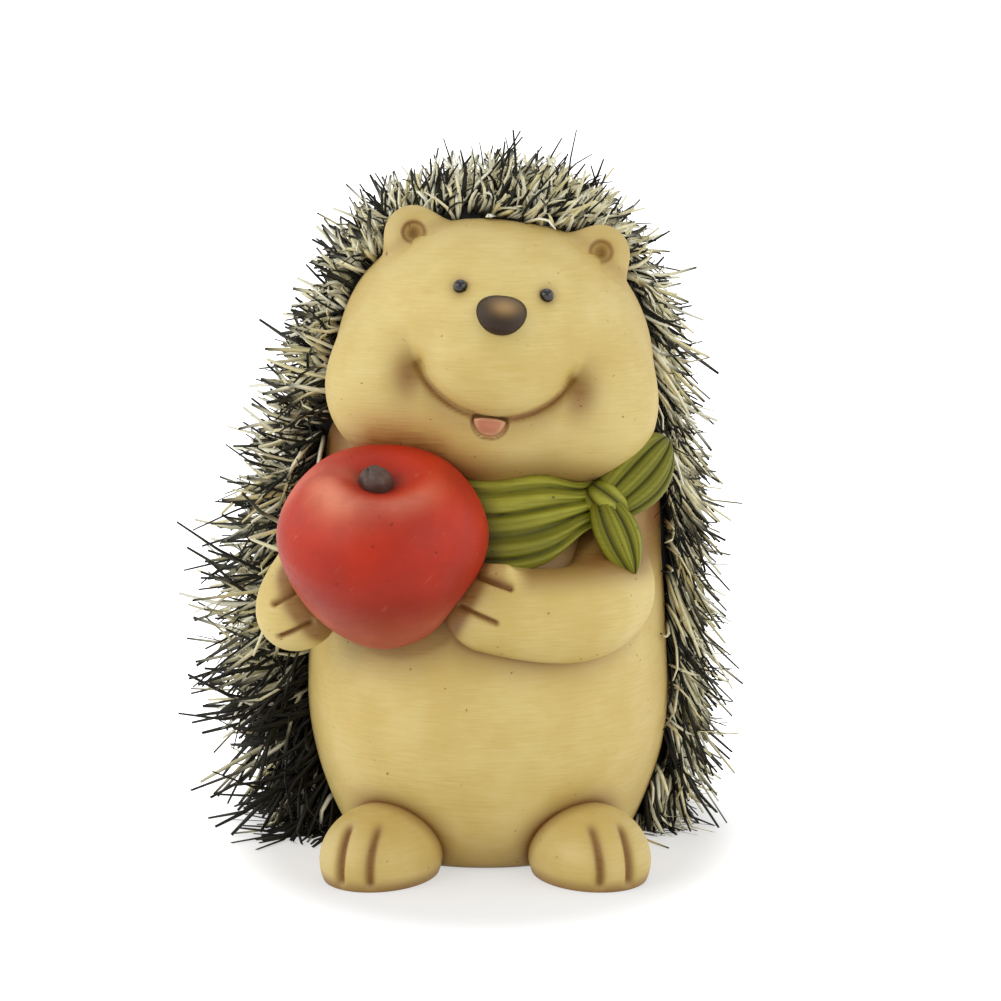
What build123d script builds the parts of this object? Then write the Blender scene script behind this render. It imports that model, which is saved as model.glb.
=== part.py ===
"""Hedgehog figurine: hollow fired-clay body and head, with limbs, apple and scarf luted on,
and a coat of fibre quills glued round its back.

Millimetres and degrees. +Z is up, the face looks along -Y, and +X is on the right of someone who
faces the figure. The origin is on the resting face, under the middle of the figure.
"""

import math
import os

import numpy as np
from build123d import *

# Share of a quarter's height and width that makes it an ellipse
ROUND = 0.5523

# Clay walls and fits
clay_wall = 5.0
floor_thickness = 6.0
seat_clearance = 0.1
vent_radius = 1.75
vent_setback = 11.0

# Back of the body: a tall egg that carries the head and the quills
back_x = 1.5
back_y = 13.0
back_base_radius = 40.0
back_radius = 50.0
back_wide_height = 45.0
back_height = 176.5
back_fullness = 0.78

# Head, measured from its own centre and rolled about the front axis
head_shift = 1.0
head_forward = 19.0
head_below_top = 41.5
head_roll = 6.0
cheek_radius = 43.9
cheek_drop = 6.0
chin_drop = 29.0
chin_fullness = 0.52
crown_rise = 42.5
crown_fullness = 0.62
cheek_pad_radius = 22.0
cheek_pad_spread = 23.0
cheek_pad_forward = 17.5
cheek_pad_drop = 8.0
chin_pad_radius = 17.0
chin_pad_forward = 24.0
chin_pad_drop = 14.0
pad_body_gap = 1.0

# Belly: a lower egg in front of the back, that ends under the head
belly_forward = 19.0
belly_base_radius = 35.0
belly_radius = 48.6
belly_wide_height = 43.0
belly_below_head = 23.0
belly_fullness = 0.56

# Muzzle, smile and tongue, in the head's frame
muzzle_radius = 22.0
muzzle_stand_out = 6.5
muzzle_z = 5.0
muzzle_bridge = 29.0
muzzle_lean = 48.0
smile_half_width = 20.0
smile_corner_z = 3.0
smile_centre_z = -13.0
smile_groove_radius = 1.2
tongue_radius = 4.4
tongue_z = -13.5
tongue_thickness = 3.0
tongue_recess = 0.8

# Eyes, nose and ears, in the head's frame
eye_radius = 1.7
eye_spread = 11.4
eye_z = 22.0
nose_half_width = 6.6
nose_half_height = 5.0
nose_stand_out = 4.5
nose_edge = 3.2
nose_edge_share = 0.8
nose_z = 17.0
ear_radius = 8.0
ear_thickness = 9.0
ear_edge = 3.0
ear_edge_share = 0.45
ear_height_share = 0.62
ear_forward = 5.0
ear_pit_radius = 3.4
ear_pit_depth = 1.6

# Apple and its stem, along the apple's own axis
apple_x = -27.0
apple_z = 88.0
apple_sunk = 10.0
apple_tilt = 24.0
apple_radius = 28.0
apple_wide_z = 4.0
apple_bottom = 27.0
apple_foot_pull = 17.0
apple_dimple = 22.0
apple_shoulder_pull = 24.0
apple_rim_pull = 8.0
apple_rim_radius = 9.0
apple_wall = 4.5
stem_radius = 3.6
stem_length = 8.0
stem_lean = 20.0
stem_peg_radius = 2.2
stem_peg_length = 3.0

# Arms and paws: shoulders on the body, paws beside the apple
arm_radius = 12.0
elbow_radius = 12.8
left_shoulder_x = 31.0
left_shoulder_z = 80.0
left_elbow_x = 28.0
left_elbow_z = 72.5
left_elbow_stand_out = 2.8
shoulder_sunk = 3.0
left_paw_angle = 12.0
left_paw_stand_out = 1.5
left_finger_slope = -17.0
right_arm_radius = 10.5
right_shoulder_x = -38.0
right_shoulder_z = 86.0
right_paw_angle = 150.0
right_paw_stand_out = -1.0
right_finger_slope = 32.0
paw_drop = 15.0
finger_groove_radius = 0.9
finger_groove_length = 11.0
finger_pitch = 7.5

# Feet
foot_spread = 28.0
foot_forward = 3.5
foot_half_length = 22.0
foot_radius = 16.0
foot_centre_height = 5.0
foot_splay = 16.0
toe_groove_width = 1.6
toe_groove_depth = 1.4
toe_groove_length = 17.6
toe_groove_offset = -3.5
toe_pitch = 8.5

# Scarf
scarf_thickness = 4.5
scarf_width = 20.0
scarf_below_head = 40.0
scarf_roll = -11.0
knot_x = 31.0
knot_above_scarf = 4.0
knot_radius = 6.0
knot_half_length = 7.5
tail_thickness = 6.0
upper_tail_length = 26.0
upper_tail_width = 17.0
upper_tail_angle = 42.0
upper_tail_yaw = 38.0
lower_tail_length = 23.0
lower_tail_width = 13.0
lower_tail_angle = -56.0
lower_tail_yaw = -41.0
lower_tail_forward = 5.0

# Quill coat: rows of fibres on a felt backing
felt_thickness = 2.5
coat_front_y = -4.0
coat_floor_gap = 2.0
quill_band_count = 7
quill_rows_per_band = 3
quill_spacing = 7.6
first_row_share = 0.6
spare_row_share = 0.3
quill_length_left = 28.0
quill_length_right = 22.0
quill_length_crown = 14.0
quill_root_radius = 0.9
quill_tip_radius = 0.5
quill_root_depth = 1.2
quill_lean_left = 0.35
quill_lean_right = 0.95
quill_droop = 0.45
quill_floor_gap = 1.5
quill_floor_share = 0.65
quill_edge_margin = 3.5
quill_clearance = 1.0

# Places that follow from the sizes above
head_x = back_x + head_shift
head_y = back_y - head_forward
head_z = back_height - head_below_top
belly_y = back_y - belly_forward
belly_height = head_z - belly_below_head
scarf_z = head_z - scarf_below_head
coat_span = 4 * (back_radius + felt_thickness)
coat_top = back_height + felt_thickness


def quarter(start, end, fullness):
    """Quarter-round curve that leaves start upright and arrives at end level.

    A fullness of 0.55 is an ellipse, and more is squarer.
    """
    upright = (start[0], start[1] + fullness * (end[1] - start[1]))
    level = (end[0] + fullness * (start[0] - end[0]), end[1])
    return Bezier(start, upright, level, end)


def turned(lines):
    """Solid turned about Z from lines that close against the axis, with its seam to the front."""
    return Rot(0, 0, -90) * revolve(Plane.XZ * make_face(Curve() + lines), Axis.Z)


def standing_lines(base_radius, radius, wide_height, height, fullness, floor):
    """Side of a flat-footed egg: an arc from its widest ring to its foot, and a dome."""
    side = TangentArc((radius, wide_height), (base_radius, floor), tangent=(0, -1))
    return side, quarter((radius, wide_height), (0, height), fullness)


def standing_egg(base_radius, radius, wide_height, height, fullness, floor):
    """Flat-footed egg turned about Z."""
    lines = list(standing_lines(base_radius, radius, wide_height, height, fullness, floor))
    return turned(lines + [Line((0, height), (0, floor)), Line((0, floor), (base_radius, floor))])


def egg(radius, drop, rise, low_fullness=ROUND, high_fullness=ROUND):
    """Egg about its widest ring at height 0, with round ends."""
    low = quarter((radius, 0), (0, -drop), low_fullness)
    high = quarter((radius, 0), (0, rise), high_fullness)
    return turned([low, high, Line((0, rise), (0, -drop))])


def capsule(start, end, radius):
    """Round-ended rod between two points."""
    axis = Vector(*end) - Vector(*start)
    low = quarter((radius, 0), (0, -radius), ROUND)
    high = quarter((radius, axis.length), (0, axis.length + radius), ROUND)
    side = Line((radius, 0), (radius, axis.length))
    rod = turned([low, side, high, Line((0, axis.length + radius), (0, -radius))])
    return Plane(origin=start, z_dir=axis).location * rod


def seat(solid, x, z):
    """Point where a line from the front first meets the solid at this x and z."""
    hits = solid.find_intersection_points(Axis((x, -coat_span, z), (0, 1, 0)))
    return min((point for point, normal in hits), key=lambda point: point.Y)


# Body casting: back and belly in one, hollow, with a floor and a firing vent
def back_form(growth, floor=0.0):
    """The back's egg with its surface moved outwards by growth."""
    return Pos(back_x, back_y, 0) * standing_egg(
        back_base_radius + growth,
        back_radius + growth,
        back_wide_height,
        back_height + growth,
        back_fullness,
        floor,
    )


def belly_form(growth, floor=0.0):
    """The belly's egg with its surface moved outwards by growth."""
    return Pos(0, belly_y, 0) * standing_egg(
        belly_base_radius + growth,
        belly_radius + growth,
        belly_wide_height,
        belly_height + growth,
        belly_fullness,
        floor,
    )


body_outer = back_form(0) + belly_form(0)
body_cavity = back_form(-clay_wall, floor_thickness) + belly_form(-clay_wall, floor_thickness)
vent = Pos(back_x, back_y + vent_setback, floor_thickness / 2) * Cylinder(vent_radius, 2 * floor_thickness)
body_shell = body_outer - body_cavity - vent

# Head casting, built about its own centre and then rolled into place
head_place = Pos(head_x, head_y, head_z) * Rot(0, head_roll, 0)


def skull(inset):
    """The head without its muzzle, with its surface moved inwards by inset."""
    return Pos(0, 0, -cheek_drop) * egg(
        cheek_radius - inset, chin_drop - inset, crown_rise - inset, chin_fullness, crown_fullness
    )


skull_outer = skull(0)
muzzle_y = seat(skull_outer, 0, muzzle_z).Y - muzzle_stand_out + muzzle_radius
muzzle_form = Rot(-muzzle_lean, 0, 180) * egg(muzzle_radius, muzzle_radius, muzzle_bridge)
face_pads = [Pos(0, -chin_pad_forward, -chin_pad_drop) * Sphere(chin_pad_radius)]
for sign in (-1, 1):
    face_pads.append(Pos(sign * cheek_pad_spread, -cheek_pad_forward, -cheek_pad_drop) * Sphere(cheek_pad_radius))
body_near = head_place.inverse() * (back_form(pad_body_gap) + belly_form(pad_body_gap))
face_pads = [pad - body_near for pad in face_pads]
head_form = skull_outer + Pos(0, muzzle_y, muzzle_z) * muzzle_form + face_pads
head_outer = head_place * head_form

smile_points = [
    seat(head_form, -smile_half_width, smile_corner_z),
    seat(head_form, 0, smile_centre_z),
    seat(head_form, smile_half_width, smile_corner_z),
]
smile_path = ThreePointArc(*smile_points)
smile_section = Plane(origin=smile_path @ 0, z_dir=smile_path % 0) * Circle(smile_groove_radius)
smile_groove = sweep(smile_section, smile_path)

tongue_front = seat(head_form, 0, tongue_z - tongue_radius).Y
tongue_axis = Pos(0, tongue_front, tongue_z) * Rot(90, 0, 0)
tongue_depth = tongue_thickness + tongue_recess
mouth_reach = 2 * tongue_depth
lower_half = Pos(0, tongue_front, tongue_z - tongue_radius) * Box(
    4 * tongue_radius, 4 * mouth_reach, 2 * tongue_radius
)
mouth_round = Cylinder(tongue_radius + seat_clearance, mouth_reach)
mouth_pocket = (tongue_axis * Pos(0, 0, mouth_reach / 2 - tongue_depth) * mouth_round) & lower_half
tongue_round = Cylinder(tongue_radius, tongue_thickness)
tongue = head_place * ((tongue_axis * Pos(0, 0, tongue_thickness / 2 - tongue_depth) * tongue_round) & lower_half)

head_cuts = [smile_groove, mouth_pocket]
eyes = {}
for side, sign in (("right", -1), ("left", 1)):
    eye_place = Pos(*seat(head_form, sign * eye_spread, eye_z))
    eyes[side] = head_place * eye_place * Sphere(eye_radius)
    head_cuts.append(eye_place * Sphere(eye_radius + seat_clearance))
head_shell = head_place * (head_form - skull(clay_wall) - head_cuts) - body_outer

nose_oval = Plane.XZ.offset(-nose_stand_out) * Ellipse(nose_half_width, nose_half_height)
nose_button = extrude(nose_oval, 2 * nose_stand_out)
nose_button = fillet(nose_button.edges().sort_by(Axis.Y)[0], min(nose_edge, nose_edge_share * nose_stand_out))
nose = head_place * (Pos(*seat(head_form, 0, nose_z)) * nose_button - head_form)

# Coat backing: a felt layer over the back, from its front edge round behind
coat_outer = back_form(felt_thickness)
behind_edge = Pos(0, coat_front_y + coat_span / 2, 0) * Box(coat_span, coat_span, 3 * coat_top)
coat_felt = (coat_outer - body_outer - head_outer) & behind_edge


def ear(sign):
    """Round ear with a thumb-pressed pit, cut to sit on the head and against the coat."""
    disc = Rot(90, 0, 0) * Cylinder(ear_radius, ear_thickness)
    disc = fillet(disc.edges(), min(ear_edge, ear_edge_share * ear_thickness))
    pit_sphere = (ear_pit_radius**2 + ear_pit_depth**2) / (2 * ear_pit_depth)
    pit = Pos(0, -ear_thickness / 2 - pit_sphere + ear_pit_depth, 0) * Sphere(pit_sphere)
    crown = quarter((cheek_radius, 0), (0, crown_rise), crown_fullness)
    root = crown.position_at(ear_height_share)
    placed = Pos(sign * root.X, -ear_forward, root.Y - cheek_drop) * (disc - pit)
    return head_place * (placed - head_form) - coat_outer


ears = {"right": ear(-1), "left": ear(1)}


# Apple: hollow, cut to sit on the chest, with a bore for the stem's peg
def apple_form(inset):
    """Apple turned about its axis, with its surface moved inwards by inset."""
    widest = (apple_radius - inset, apple_wide_z)
    bottom = (0, inset - apple_bottom)
    dimple = (0, apple_dimple - inset)
    low = Bezier(bottom, (apple_foot_pull, bottom[1]), (widest[0], bottom[1] + apple_foot_pull), widest)
    high = Bezier(
        widest,
        (widest[0], apple_wide_z + apple_shoulder_pull - inset),
        (apple_rim_radius, dimple[1] + apple_rim_pull),
        dimple,
    )
    return turned([low, high, Line(dimple, bottom)])


apple_y = seat(body_outer, apple_x, apple_z).Y + apple_sunk - apple_radius
apple_place = Pos(apple_x, apple_y, apple_z) * Rot(apple_tilt, 0, 0)
apple_outer = apple_place * apple_form(0)
stem_place = apple_place * Pos(0, 0, apple_dimple)
peg_reach = stem_peg_length + stem_radius
peg_middle = Pos(0, 0, peg_reach / 2 - stem_peg_length)
stem_bore = stem_place * Cylinder(stem_peg_radius + seat_clearance, 4 * apple_wall)
apple = apple_outer - apple_place * apple_form(apple_wall) - stem_bore - body_outer - head_outer
stem_knob = Rot(0, stem_lean, 0) * capsule((0, 0, 0), (0, 0, stem_length - stem_radius), stem_radius)
stem_peg = stem_place * peg_middle * Cylinder(stem_peg_radius, peg_reach)
apple_stem = (stem_place * stem_knob - apple_outer) + stem_peg


# Arms, cut to sit on the body and round the apple
def paw_centre(angle, radius, stand_out):
    """Middle of a paw beside the apple: angle 0 is +X, and 180 is -X, seen from above."""
    reach = apple_radius + stand_out
    turn = math.radians(angle)
    return (apple_x + reach * math.cos(turn), apple_y + reach * math.sin(turn) - radius / 2, apple_z - paw_drop)


def finger_grooves(form, centre, slope):
    """Two short round-bottomed grooves across a paw, one above the other, that rise towards +X by slope."""
    along = (math.cos(math.radians(slope)), 0, math.sin(math.radians(slope)))
    grooves = []
    for step in (-0.5, 0.5):
        middle = seat(form, centre[0], centre[2] + step * finger_pitch)
        rod = Cylinder(finger_groove_radius, finger_groove_length)
        grooves.append(Plane(origin=middle, z_dir=along).location * rod)
    return grooves


def in_body(x, z, sunk):
    """Point behind the front of the body at this x and z."""
    return (x, seat(body_outer, x, z).Y + sunk, z)


left_shoulder = in_body(left_shoulder_x, left_shoulder_z, shoulder_sunk)
left_elbow = in_body(left_elbow_x, left_elbow_z, -left_elbow_stand_out)
left_paw = paw_centre(left_paw_angle, arm_radius, left_paw_stand_out)
left_form = capsule(left_shoulder, left_elbow, elbow_radius) + capsule(left_elbow, left_paw, arm_radius)
left_grooves = finger_grooves(left_form, left_paw, left_finger_slope)
arm_left = left_form - body_outer - head_outer - apple_outer - left_grooves

right_shoulder = in_body(right_shoulder_x, right_shoulder_z, shoulder_sunk)
right_paw = paw_centre(right_paw_angle, right_arm_radius, right_paw_stand_out)
right_form = capsule(right_shoulder, right_paw, right_arm_radius)
right_grooves = finger_grooves(right_form, right_paw, right_finger_slope)
arm_right = right_form - body_outer - head_outer - apple_outer - coat_outer - right_grooves


# Feet: round slippers flat on the ground, with two toe grooves each
def foot_form(inset):
    """Egg lying on its side, with its surface moved inwards by inset."""
    tip = foot_half_length - inset
    return Pos(0, 0, foot_centre_height) * Rot(90, 0, 0) * egg(foot_radius - inset, tip, tip)


def foot(sign):
    """One foot: sign is -1 for the figure's right and 1 for its left."""
    foot_height = foot_centre_height + foot_radius
    groove_core = foot_form(toe_groove_depth)
    form = foot_form(0)
    for place in (toe_groove_offset, toe_groove_offset + toe_pitch):
        slot = Box(toe_groove_width, 2 * toe_groove_length, 2 * foot_height)
        form = form - (Pos(sign * place, -foot_half_length, foot_height / 2) * slot - groove_core)
    above_ground = Pos(0, 0, foot_height) * Box(4 * foot_radius, 4 * foot_half_length, 2 * foot_height)
    foot_y = belly_y - belly_base_radius - foot_forward
    return Pos(sign * foot_spread, foot_y, 0) * Rot(0, 0, sign * foot_splay) * (form & above_ground) - body_outer


feet = {"right": foot(-1), "left": foot(1)}

# Scarf: a band round the neck, a knot and two tails
scarf_wrap = belly_form(scarf_thickness) + back_form(scarf_thickness)
scarf_slab = Pos(0, 0, scarf_z) * Rot(0, scarf_roll, 0) * Box(coat_span, coat_span, scarf_width)
before_coat = Pos(0, coat_front_y - coat_span / 2, 0) * Box(coat_span, coat_span, 3 * coat_top)
scarf_band = (scarf_wrap & scarf_slab & before_coat) - body_outer - head_outer - apple_outer - coat_outer
scarf_band = scarf_band - left_form - right_form
scarf_band = max(scarf_band.solids(), key=lambda solid: solid.volume)

knot_seat = seat(scarf_wrap, knot_x, scarf_z + knot_above_scarf)
knot_round = egg(knot_radius, knot_half_length, knot_half_length)
knot_form = Pos(*knot_seat) * Rot(0, upper_tail_angle, 0) * knot_round
scarf_knot = knot_form - scarf_wrap - body_outer - head_outer - left_form


def scarf_tail(length, width, angle, yaw, forward):
    """Leaf-shaped end of the scarf, from the knot outwards at an angle above level."""
    rim = [
        ThreePointArc((0, 0), (length / 2, width / 2), (length, 0)),
        ThreePointArc((length, 0), (length / 2, -width / 2), (0, 0)),
    ]
    leaf = Rot(90, 0, 0) * extrude(make_face(Curve() + rim), tail_thickness / 2, both=True)
    placed = Pos(*knot_seat) * Pos(0, -forward, 0) * Rot(0, 0, yaw) * Rot(0, -angle, 0) * leaf
    clear = placed - knot_form - scarf_wrap - body_outer - head_outer - coat_outer - left_form
    return max(clear.solids(), key=lambda solid: solid.volume)


scarf_tail_upper = scarf_tail(upper_tail_length, upper_tail_width, upper_tail_angle, upper_tail_yaw, 0)
scarf_tail_lower = scarf_tail(
    lower_tail_length, lower_tail_width, lower_tail_angle, lower_tail_yaw, lower_tail_forward
)


# Quills: rows of three-sided fibres, leaning down and fused to their band of felt
def quill_path(root, outward, downward, length, lean):
    """Root, middle and tip of one fibre that leaves the felt outwards and droops."""
    first = (outward + downward * lean).normalized()
    second = (outward + downward * (lean + quill_droop)).normalized()
    middle = root + first * (length / 2)
    return [root - first * quill_root_depth, middle, middle + second * (length / 2)]


def quill_solid(path):
    """Three-sided tapering fibre through the points of its path."""
    plane = Plane(origin=path[0], z_dir=path[-1] - path[0])
    rings = []
    for i, point in enumerate(path):
        radius = quill_root_radius + (quill_tip_radius - quill_root_radius) * i / (len(path) - 1)
        turns = [math.radians(90 + 120 * k) for k in range(3)]
        rings.append(
            [point + (plane.x_dir * math.cos(turn) + plane.y_dir * math.sin(turn)) * radius for turn in turns]
        )
    faces = [Face(Wire.make_polygon(rings[0])), Face(Wire.make_polygon(rings[-1]))]
    for low, high in zip(rings, rings[1:]):
        for k in range(3):
            after = (k + 1) % 3
            faces.append(Face(Wire.make_polygon([low[k], low[after], high[after], high[k]])))
    return Solid(Shell(faces))


def quill_points(path):
    """Nine points along a fibre, from root to tip."""
    points = [path[0] + (path[1] - path[0]) * (k / 4) for k in range(4)]
    return points + [path[1] + (path[2] - path[1]) * (k / 4) for k in range(5)]


def row_paths(side_ring, side_slope):
    """Fibres of one row, from a point of the coat's side line and the line's direction there."""
    axis = Vector(back_x, back_y, 0)
    front_cosine = (coat_front_y + quill_edge_margin - back_y) / side_ring.X
    reach = math.acos(max(-1.0, min(1.0, front_cosine)))
    count = max(1, round(2 * reach * side_ring.X / quill_spacing))
    crown_share = max(0.0, side_slope.X * -1)
    paths = []
    for j in range(count):
        turn = reach * (2 * (j + 0.5) / count - 1)
        radial = Vector(math.sin(turn), math.cos(turn), 0)
        outward = radial * side_slope.Y + Vector(0, 0, -side_slope.X)
        downward = radial * -side_slope.X + Vector(0, 0, -side_slope.Y)
        root = axis + radial * side_ring.X + Vector(0, 0, side_ring.Y)
        right_share = (1 + math.sin(turn)) / 2
        length = quill_length_left + (quill_length_right - quill_length_left) * right_share
        length = length + (quill_length_crown - length) * crown_share
        lean = quill_lean_left + (quill_lean_right - quill_lean_left) * right_share
        path = quill_path(root, outward, downward, length, lean)
        while path[-1].Z < quill_floor_gap + quill_floor_share * root.Z:
            lean = lean - quill_droop / 4
            path = quill_path(root, outward, downward, length, lean)
        paths.append(path)
    return paths


quill_obstacles = [head_outer, *ears.values(), arm_right, scarf_tail_upper, *feet.values()]
obstacle_solids = [solid for piece in quill_obstacles for solid in piece.solids()]
obstacle_boxes = [solid.bounding_box() for solid in obstacle_solids]


def stands_clear(path):
    """True for a fibre that keeps its clearance from the head, ears, arm, scarf and feet."""
    for point in quill_points(path):
        for solid, box in zip(obstacle_solids, obstacle_boxes):
            if max(*(box.min - point), *(point - box.max)) > quill_clearance:
                continue
            if solid.distance_to(Vertex(point)) < quill_clearance:
                return False
    return True


side_arc, side_dome = standing_lines(
    back_base_radius + felt_thickness,
    back_radius + felt_thickness,
    back_wide_height,
    coat_top,
    back_fullness,
    0,
)
side_length = side_arc.length + side_dome.length
row_count = quill_band_count * quill_rows_per_band
rows = []
row_heights = []
for i in range(row_count):
    run = side_length * (i + first_row_share) / (row_count + spare_row_share)
    on_arc = run < side_arc.length
    share = 1 - run / side_arc.length if on_arc else (run - side_arc.length) / side_dome.length
    line = side_arc if on_arc else side_dome
    slope = line.tangent_at(share) * (-1 if on_arc else 1)
    ring = line.position_at(share)
    rows.append([path for path in row_paths(ring, slope) if stands_clear(path)])
    row_heights.append(ring.Y)

band_limits = [coat_floor_gap]
for b in range(1, quill_band_count):
    first_row = b * quill_rows_per_band
    band_limits.append((row_heights[first_row - 1] + row_heights[first_row]) / 2)
band_limits.append(coat_top + felt_thickness)

quill_bands = []
for b in range(quill_band_count):
    low, high = band_limits[b], band_limits[b + 1]
    slice_box = Pos(0, 0, (low + high) / 2) * Box(2 * coat_span, 2 * coat_span, high - low)
    felt_slice = max((coat_felt & slice_box).solids(), key=lambda solid: solid.volume)
    band_rows = rows[b * quill_rows_per_band : (b + 1) * quill_rows_per_band]
    quill_bands.append(felt_slice.fuse(*[quill_solid(path) for row in band_rows for path in row]))


def least_gap(paths):
    """Smallest distance between points of different fibres."""
    points = np.array([[tuple(point) for point in quill_points(path)] for path in paths])
    gaps = []
    for i in range(len(points) - 1):
        apart = points[i, :, None, None, :] - points[None, None, i + 1 :, :, :][0]
        gaps.append(np.linalg.norm(apart, axis=-1).min())
    return min(gaps)


nodes = {
    "body_shell": body_shell,
    "head_shell": head_shell,
    "ear_right": ears["right"],
    "ear_left": ears["left"],
    "eye_right": eyes["right"],
    "eye_left": eyes["left"],
    "nose": nose,
    "tongue": tongue,
    "scarf_band": scarf_band,
    "scarf_knot": scarf_knot,
    "scarf_tail_upper": scarf_tail_upper,
    "scarf_tail_lower": scarf_tail_lower,
    "arm_right": arm_right,
    "arm_left": arm_left,
    "apple": apple,
    "apple_stem": apple_stem,
    "foot_right": feet["right"],
    "foot_left": feet["left"],
}
for number, band in enumerate(quill_bands, start=1):
    nodes[f"quill_band_{number}"] = band

os.makedirs("parts", exist_ok=True)
for name, shape in nodes.items():
    export_step(shape, f"parts/{name}.step")
    print(name, "solids", len(shape.solids()), "volume", round(shape.volume, 1))

all_paths = [path for row in rows for path in row]
print("fibres", len(all_paths), "least gap between fibres", round(least_gap(all_paths), 2))
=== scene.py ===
# %% [markdown]
# # A clay hedgehog with an apple and a coat of fibre quills
#
# The frame holds the figure's solids at their real size. This lesson gives every one of them its looks:
# pressed clay with a brown wash and painted shade in the creases, a worn red apple with painted highlights, a
# pleated green scarf with painted light and shade on its folds and a dense coat of straw and black fibre.
#
# Lengths are millimetres until a mesh is made. X runs to the right of someone who faces the figure, the
# face looks along -Y, and Z is up. Nearly every shape is a surface on a grid of two parameters, worked out
# with numpy at once.

import math

import bpy
import numpy as np
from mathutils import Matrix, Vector


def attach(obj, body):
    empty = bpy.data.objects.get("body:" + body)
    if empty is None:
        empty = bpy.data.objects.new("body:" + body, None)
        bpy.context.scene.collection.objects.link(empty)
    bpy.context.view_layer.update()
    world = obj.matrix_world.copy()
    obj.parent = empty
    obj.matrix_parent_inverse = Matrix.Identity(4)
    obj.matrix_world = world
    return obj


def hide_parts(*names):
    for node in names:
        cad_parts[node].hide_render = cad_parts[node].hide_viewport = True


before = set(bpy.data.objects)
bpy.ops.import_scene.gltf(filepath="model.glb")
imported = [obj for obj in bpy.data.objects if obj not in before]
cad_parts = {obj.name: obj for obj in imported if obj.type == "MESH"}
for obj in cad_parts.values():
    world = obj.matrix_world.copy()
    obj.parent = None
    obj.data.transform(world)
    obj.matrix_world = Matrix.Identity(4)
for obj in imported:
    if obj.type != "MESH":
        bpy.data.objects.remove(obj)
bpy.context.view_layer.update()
MM = 0.001

# %% [markdown]
# ## Small tools for shapes
#
# A clay figure is soft shapes pressed into each other. `blend_min` joins two distance fields with a rounded
# fillet, as a thumb smooths a seam. `step` and `near` are the fades for grooves, dents, washes and painted
# shade.


# %% Fades and lengths
def step(low, high, value):
    """Smooth rise from 0 at low to 1 at high."""
    share = np.clip((value - low) / (high - low), 0, 1)
    return share * share * (3 - 2 * share)


def near(distance, reach):
    """1 at no distance, falling to about a third at reach, as a bell curve does."""
    return np.exp(-((np.maximum(distance, 0) / reach) ** 2))


def wash_and_shade_at(distance, reach):
    """Umber and painted shade at a distance from a crease: a crisp line in it, a soft halo as wide as reach.
    """
    line_reach = 1.2
    halo_share = 0.6
    return halo_share * near(distance, reach) + (1 - halo_share) * near(distance, line_reach)


def blend_min(first, second, reach):
    """Lower of two distances, rounded off where they differ by less than reach."""
    share = np.clip(0.5 + 0.5 * (second - first) / reach, 0, 1)
    return second + (first - second) * share - reach * share * (1 - share)


def length(vectors):
    """Length of each vector along the last axis."""
    return np.sqrt((vectors ** 2).sum(-1))


def unit(vectors):
    """Each vector at length 1."""
    return vectors / np.maximum(length(vectors), 1e-9)[..., None]


def segment_distance(points, start, end):
    """Distance from each point to the straight line between two points."""
    start = np.asarray(start, float)
    along = np.asarray(end, float) - start
    share = np.clip(((points - start) @ along) / (along @ along), 0, 1)
    return length(points - start - share[..., None] * along)


# %% Points that turn and swell
def places(x, y, z):
    """Points from their coordinates; each of these is a number, a row, a column or a whole grid."""
    return np.stack(np.broadcast_arrays(x, y, z), -1)


def rolled(points, degrees):
    """Points turned about the Y axis, the top towards +X."""
    angle = math.radians(degrees)
    x, y, z = np.moveaxis(points, -1, 0)
    turned_x = x * math.cos(angle) + z * math.sin(angle)
    turned_z = z * math.cos(angle) - x * math.sin(angle)
    return places(turned_x, y, turned_z)


def nodded(points, degrees):
    """Points turned about the X axis, the top towards -Y."""
    angle = math.radians(degrees)
    x, y, z = np.moveaxis(points, -1, 0)
    turned_y = y * math.cos(angle) - z * math.sin(angle)
    turned_z = y * math.sin(angle) + z * math.cos(angle)
    return places(x, turned_y, turned_z)


def waves(points, size, seed):
    """Slow random swell about 0: a mean of sines along random directions, one wave per size, times a gain."""
    sine_count = 7
    gain = 1.6
    draw = np.random.default_rng(seed)
    directions = unit(draw.normal(size=(sine_count, 3)))
    phases = draw.uniform(0, 2 * math.pi, sine_count)
    return np.sin(points @ directions.T * (2 * math.pi / size) + phases).mean(-1) * gain


# %% Grids of angles
def turns(count, crowding):
    """Angles once round as one row, 0 at the front, and closer together there by crowding (0 to 1)."""
    share = np.linspace(-1, 1, count, endpoint=False)[None, :]
    return math.pi * share - crowding * np.sin(math.pi * share)


def circle(columns):
    """Angles once round, evenly spaced, as one row of a grid."""
    return np.linspace(0, 2 * math.pi, columns, endpoint=False)[None, :]


def slopes(rows, margin):
    """Angles from the lower pole to the upper pole, both left open by margin, as one column of a grid."""
    return np.linspace(-math.pi / 2 + margin, math.pi / 2 - margin, rows)[:, None]


def ball_points(rows, columns, margin):
    """Points of a ball of radius 1 whose poles lie on the Y axis, the first of them behind."""
    slope = slopes(rows, margin)
    turn = circle(columns)
    ring = np.cos(slope)
    return places(ring * np.cos(turn), -np.sin(slope), ring * np.sin(turn))


def sided(place, sign):
    """A place on the figure's left for sign 1, or its mirror image on the right for sign -1."""
    return place * np.array([sign, 1, 1])


# %% [markdown]
# ## Small tools for meshes
#
# `grid_object` turns a grid of points into a closed skin: quads between the points, a fan at each end. It
# looks at the sign of the enclosed volume and turns the faces outwards by it. Values per point, such as how
# much wash and painted shade lie there, go along as attributes that the materials read.


# %% Faces and meshes
def grid_faces(rows, columns, around):
    """Corner numbers of the quads of a rows x columns grid, joined round if asked."""
    index = np.arange(rows * columns).reshape(rows, columns)
    if around:
        index = np.concatenate([index, index[:, :1]], axis=1)
    quads = np.stack([index[:-1, :-1], index[:-1, 1:], index[1:, 1:], index[1:, :-1]], -1)
    return quads.reshape(-1, 4)


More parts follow.
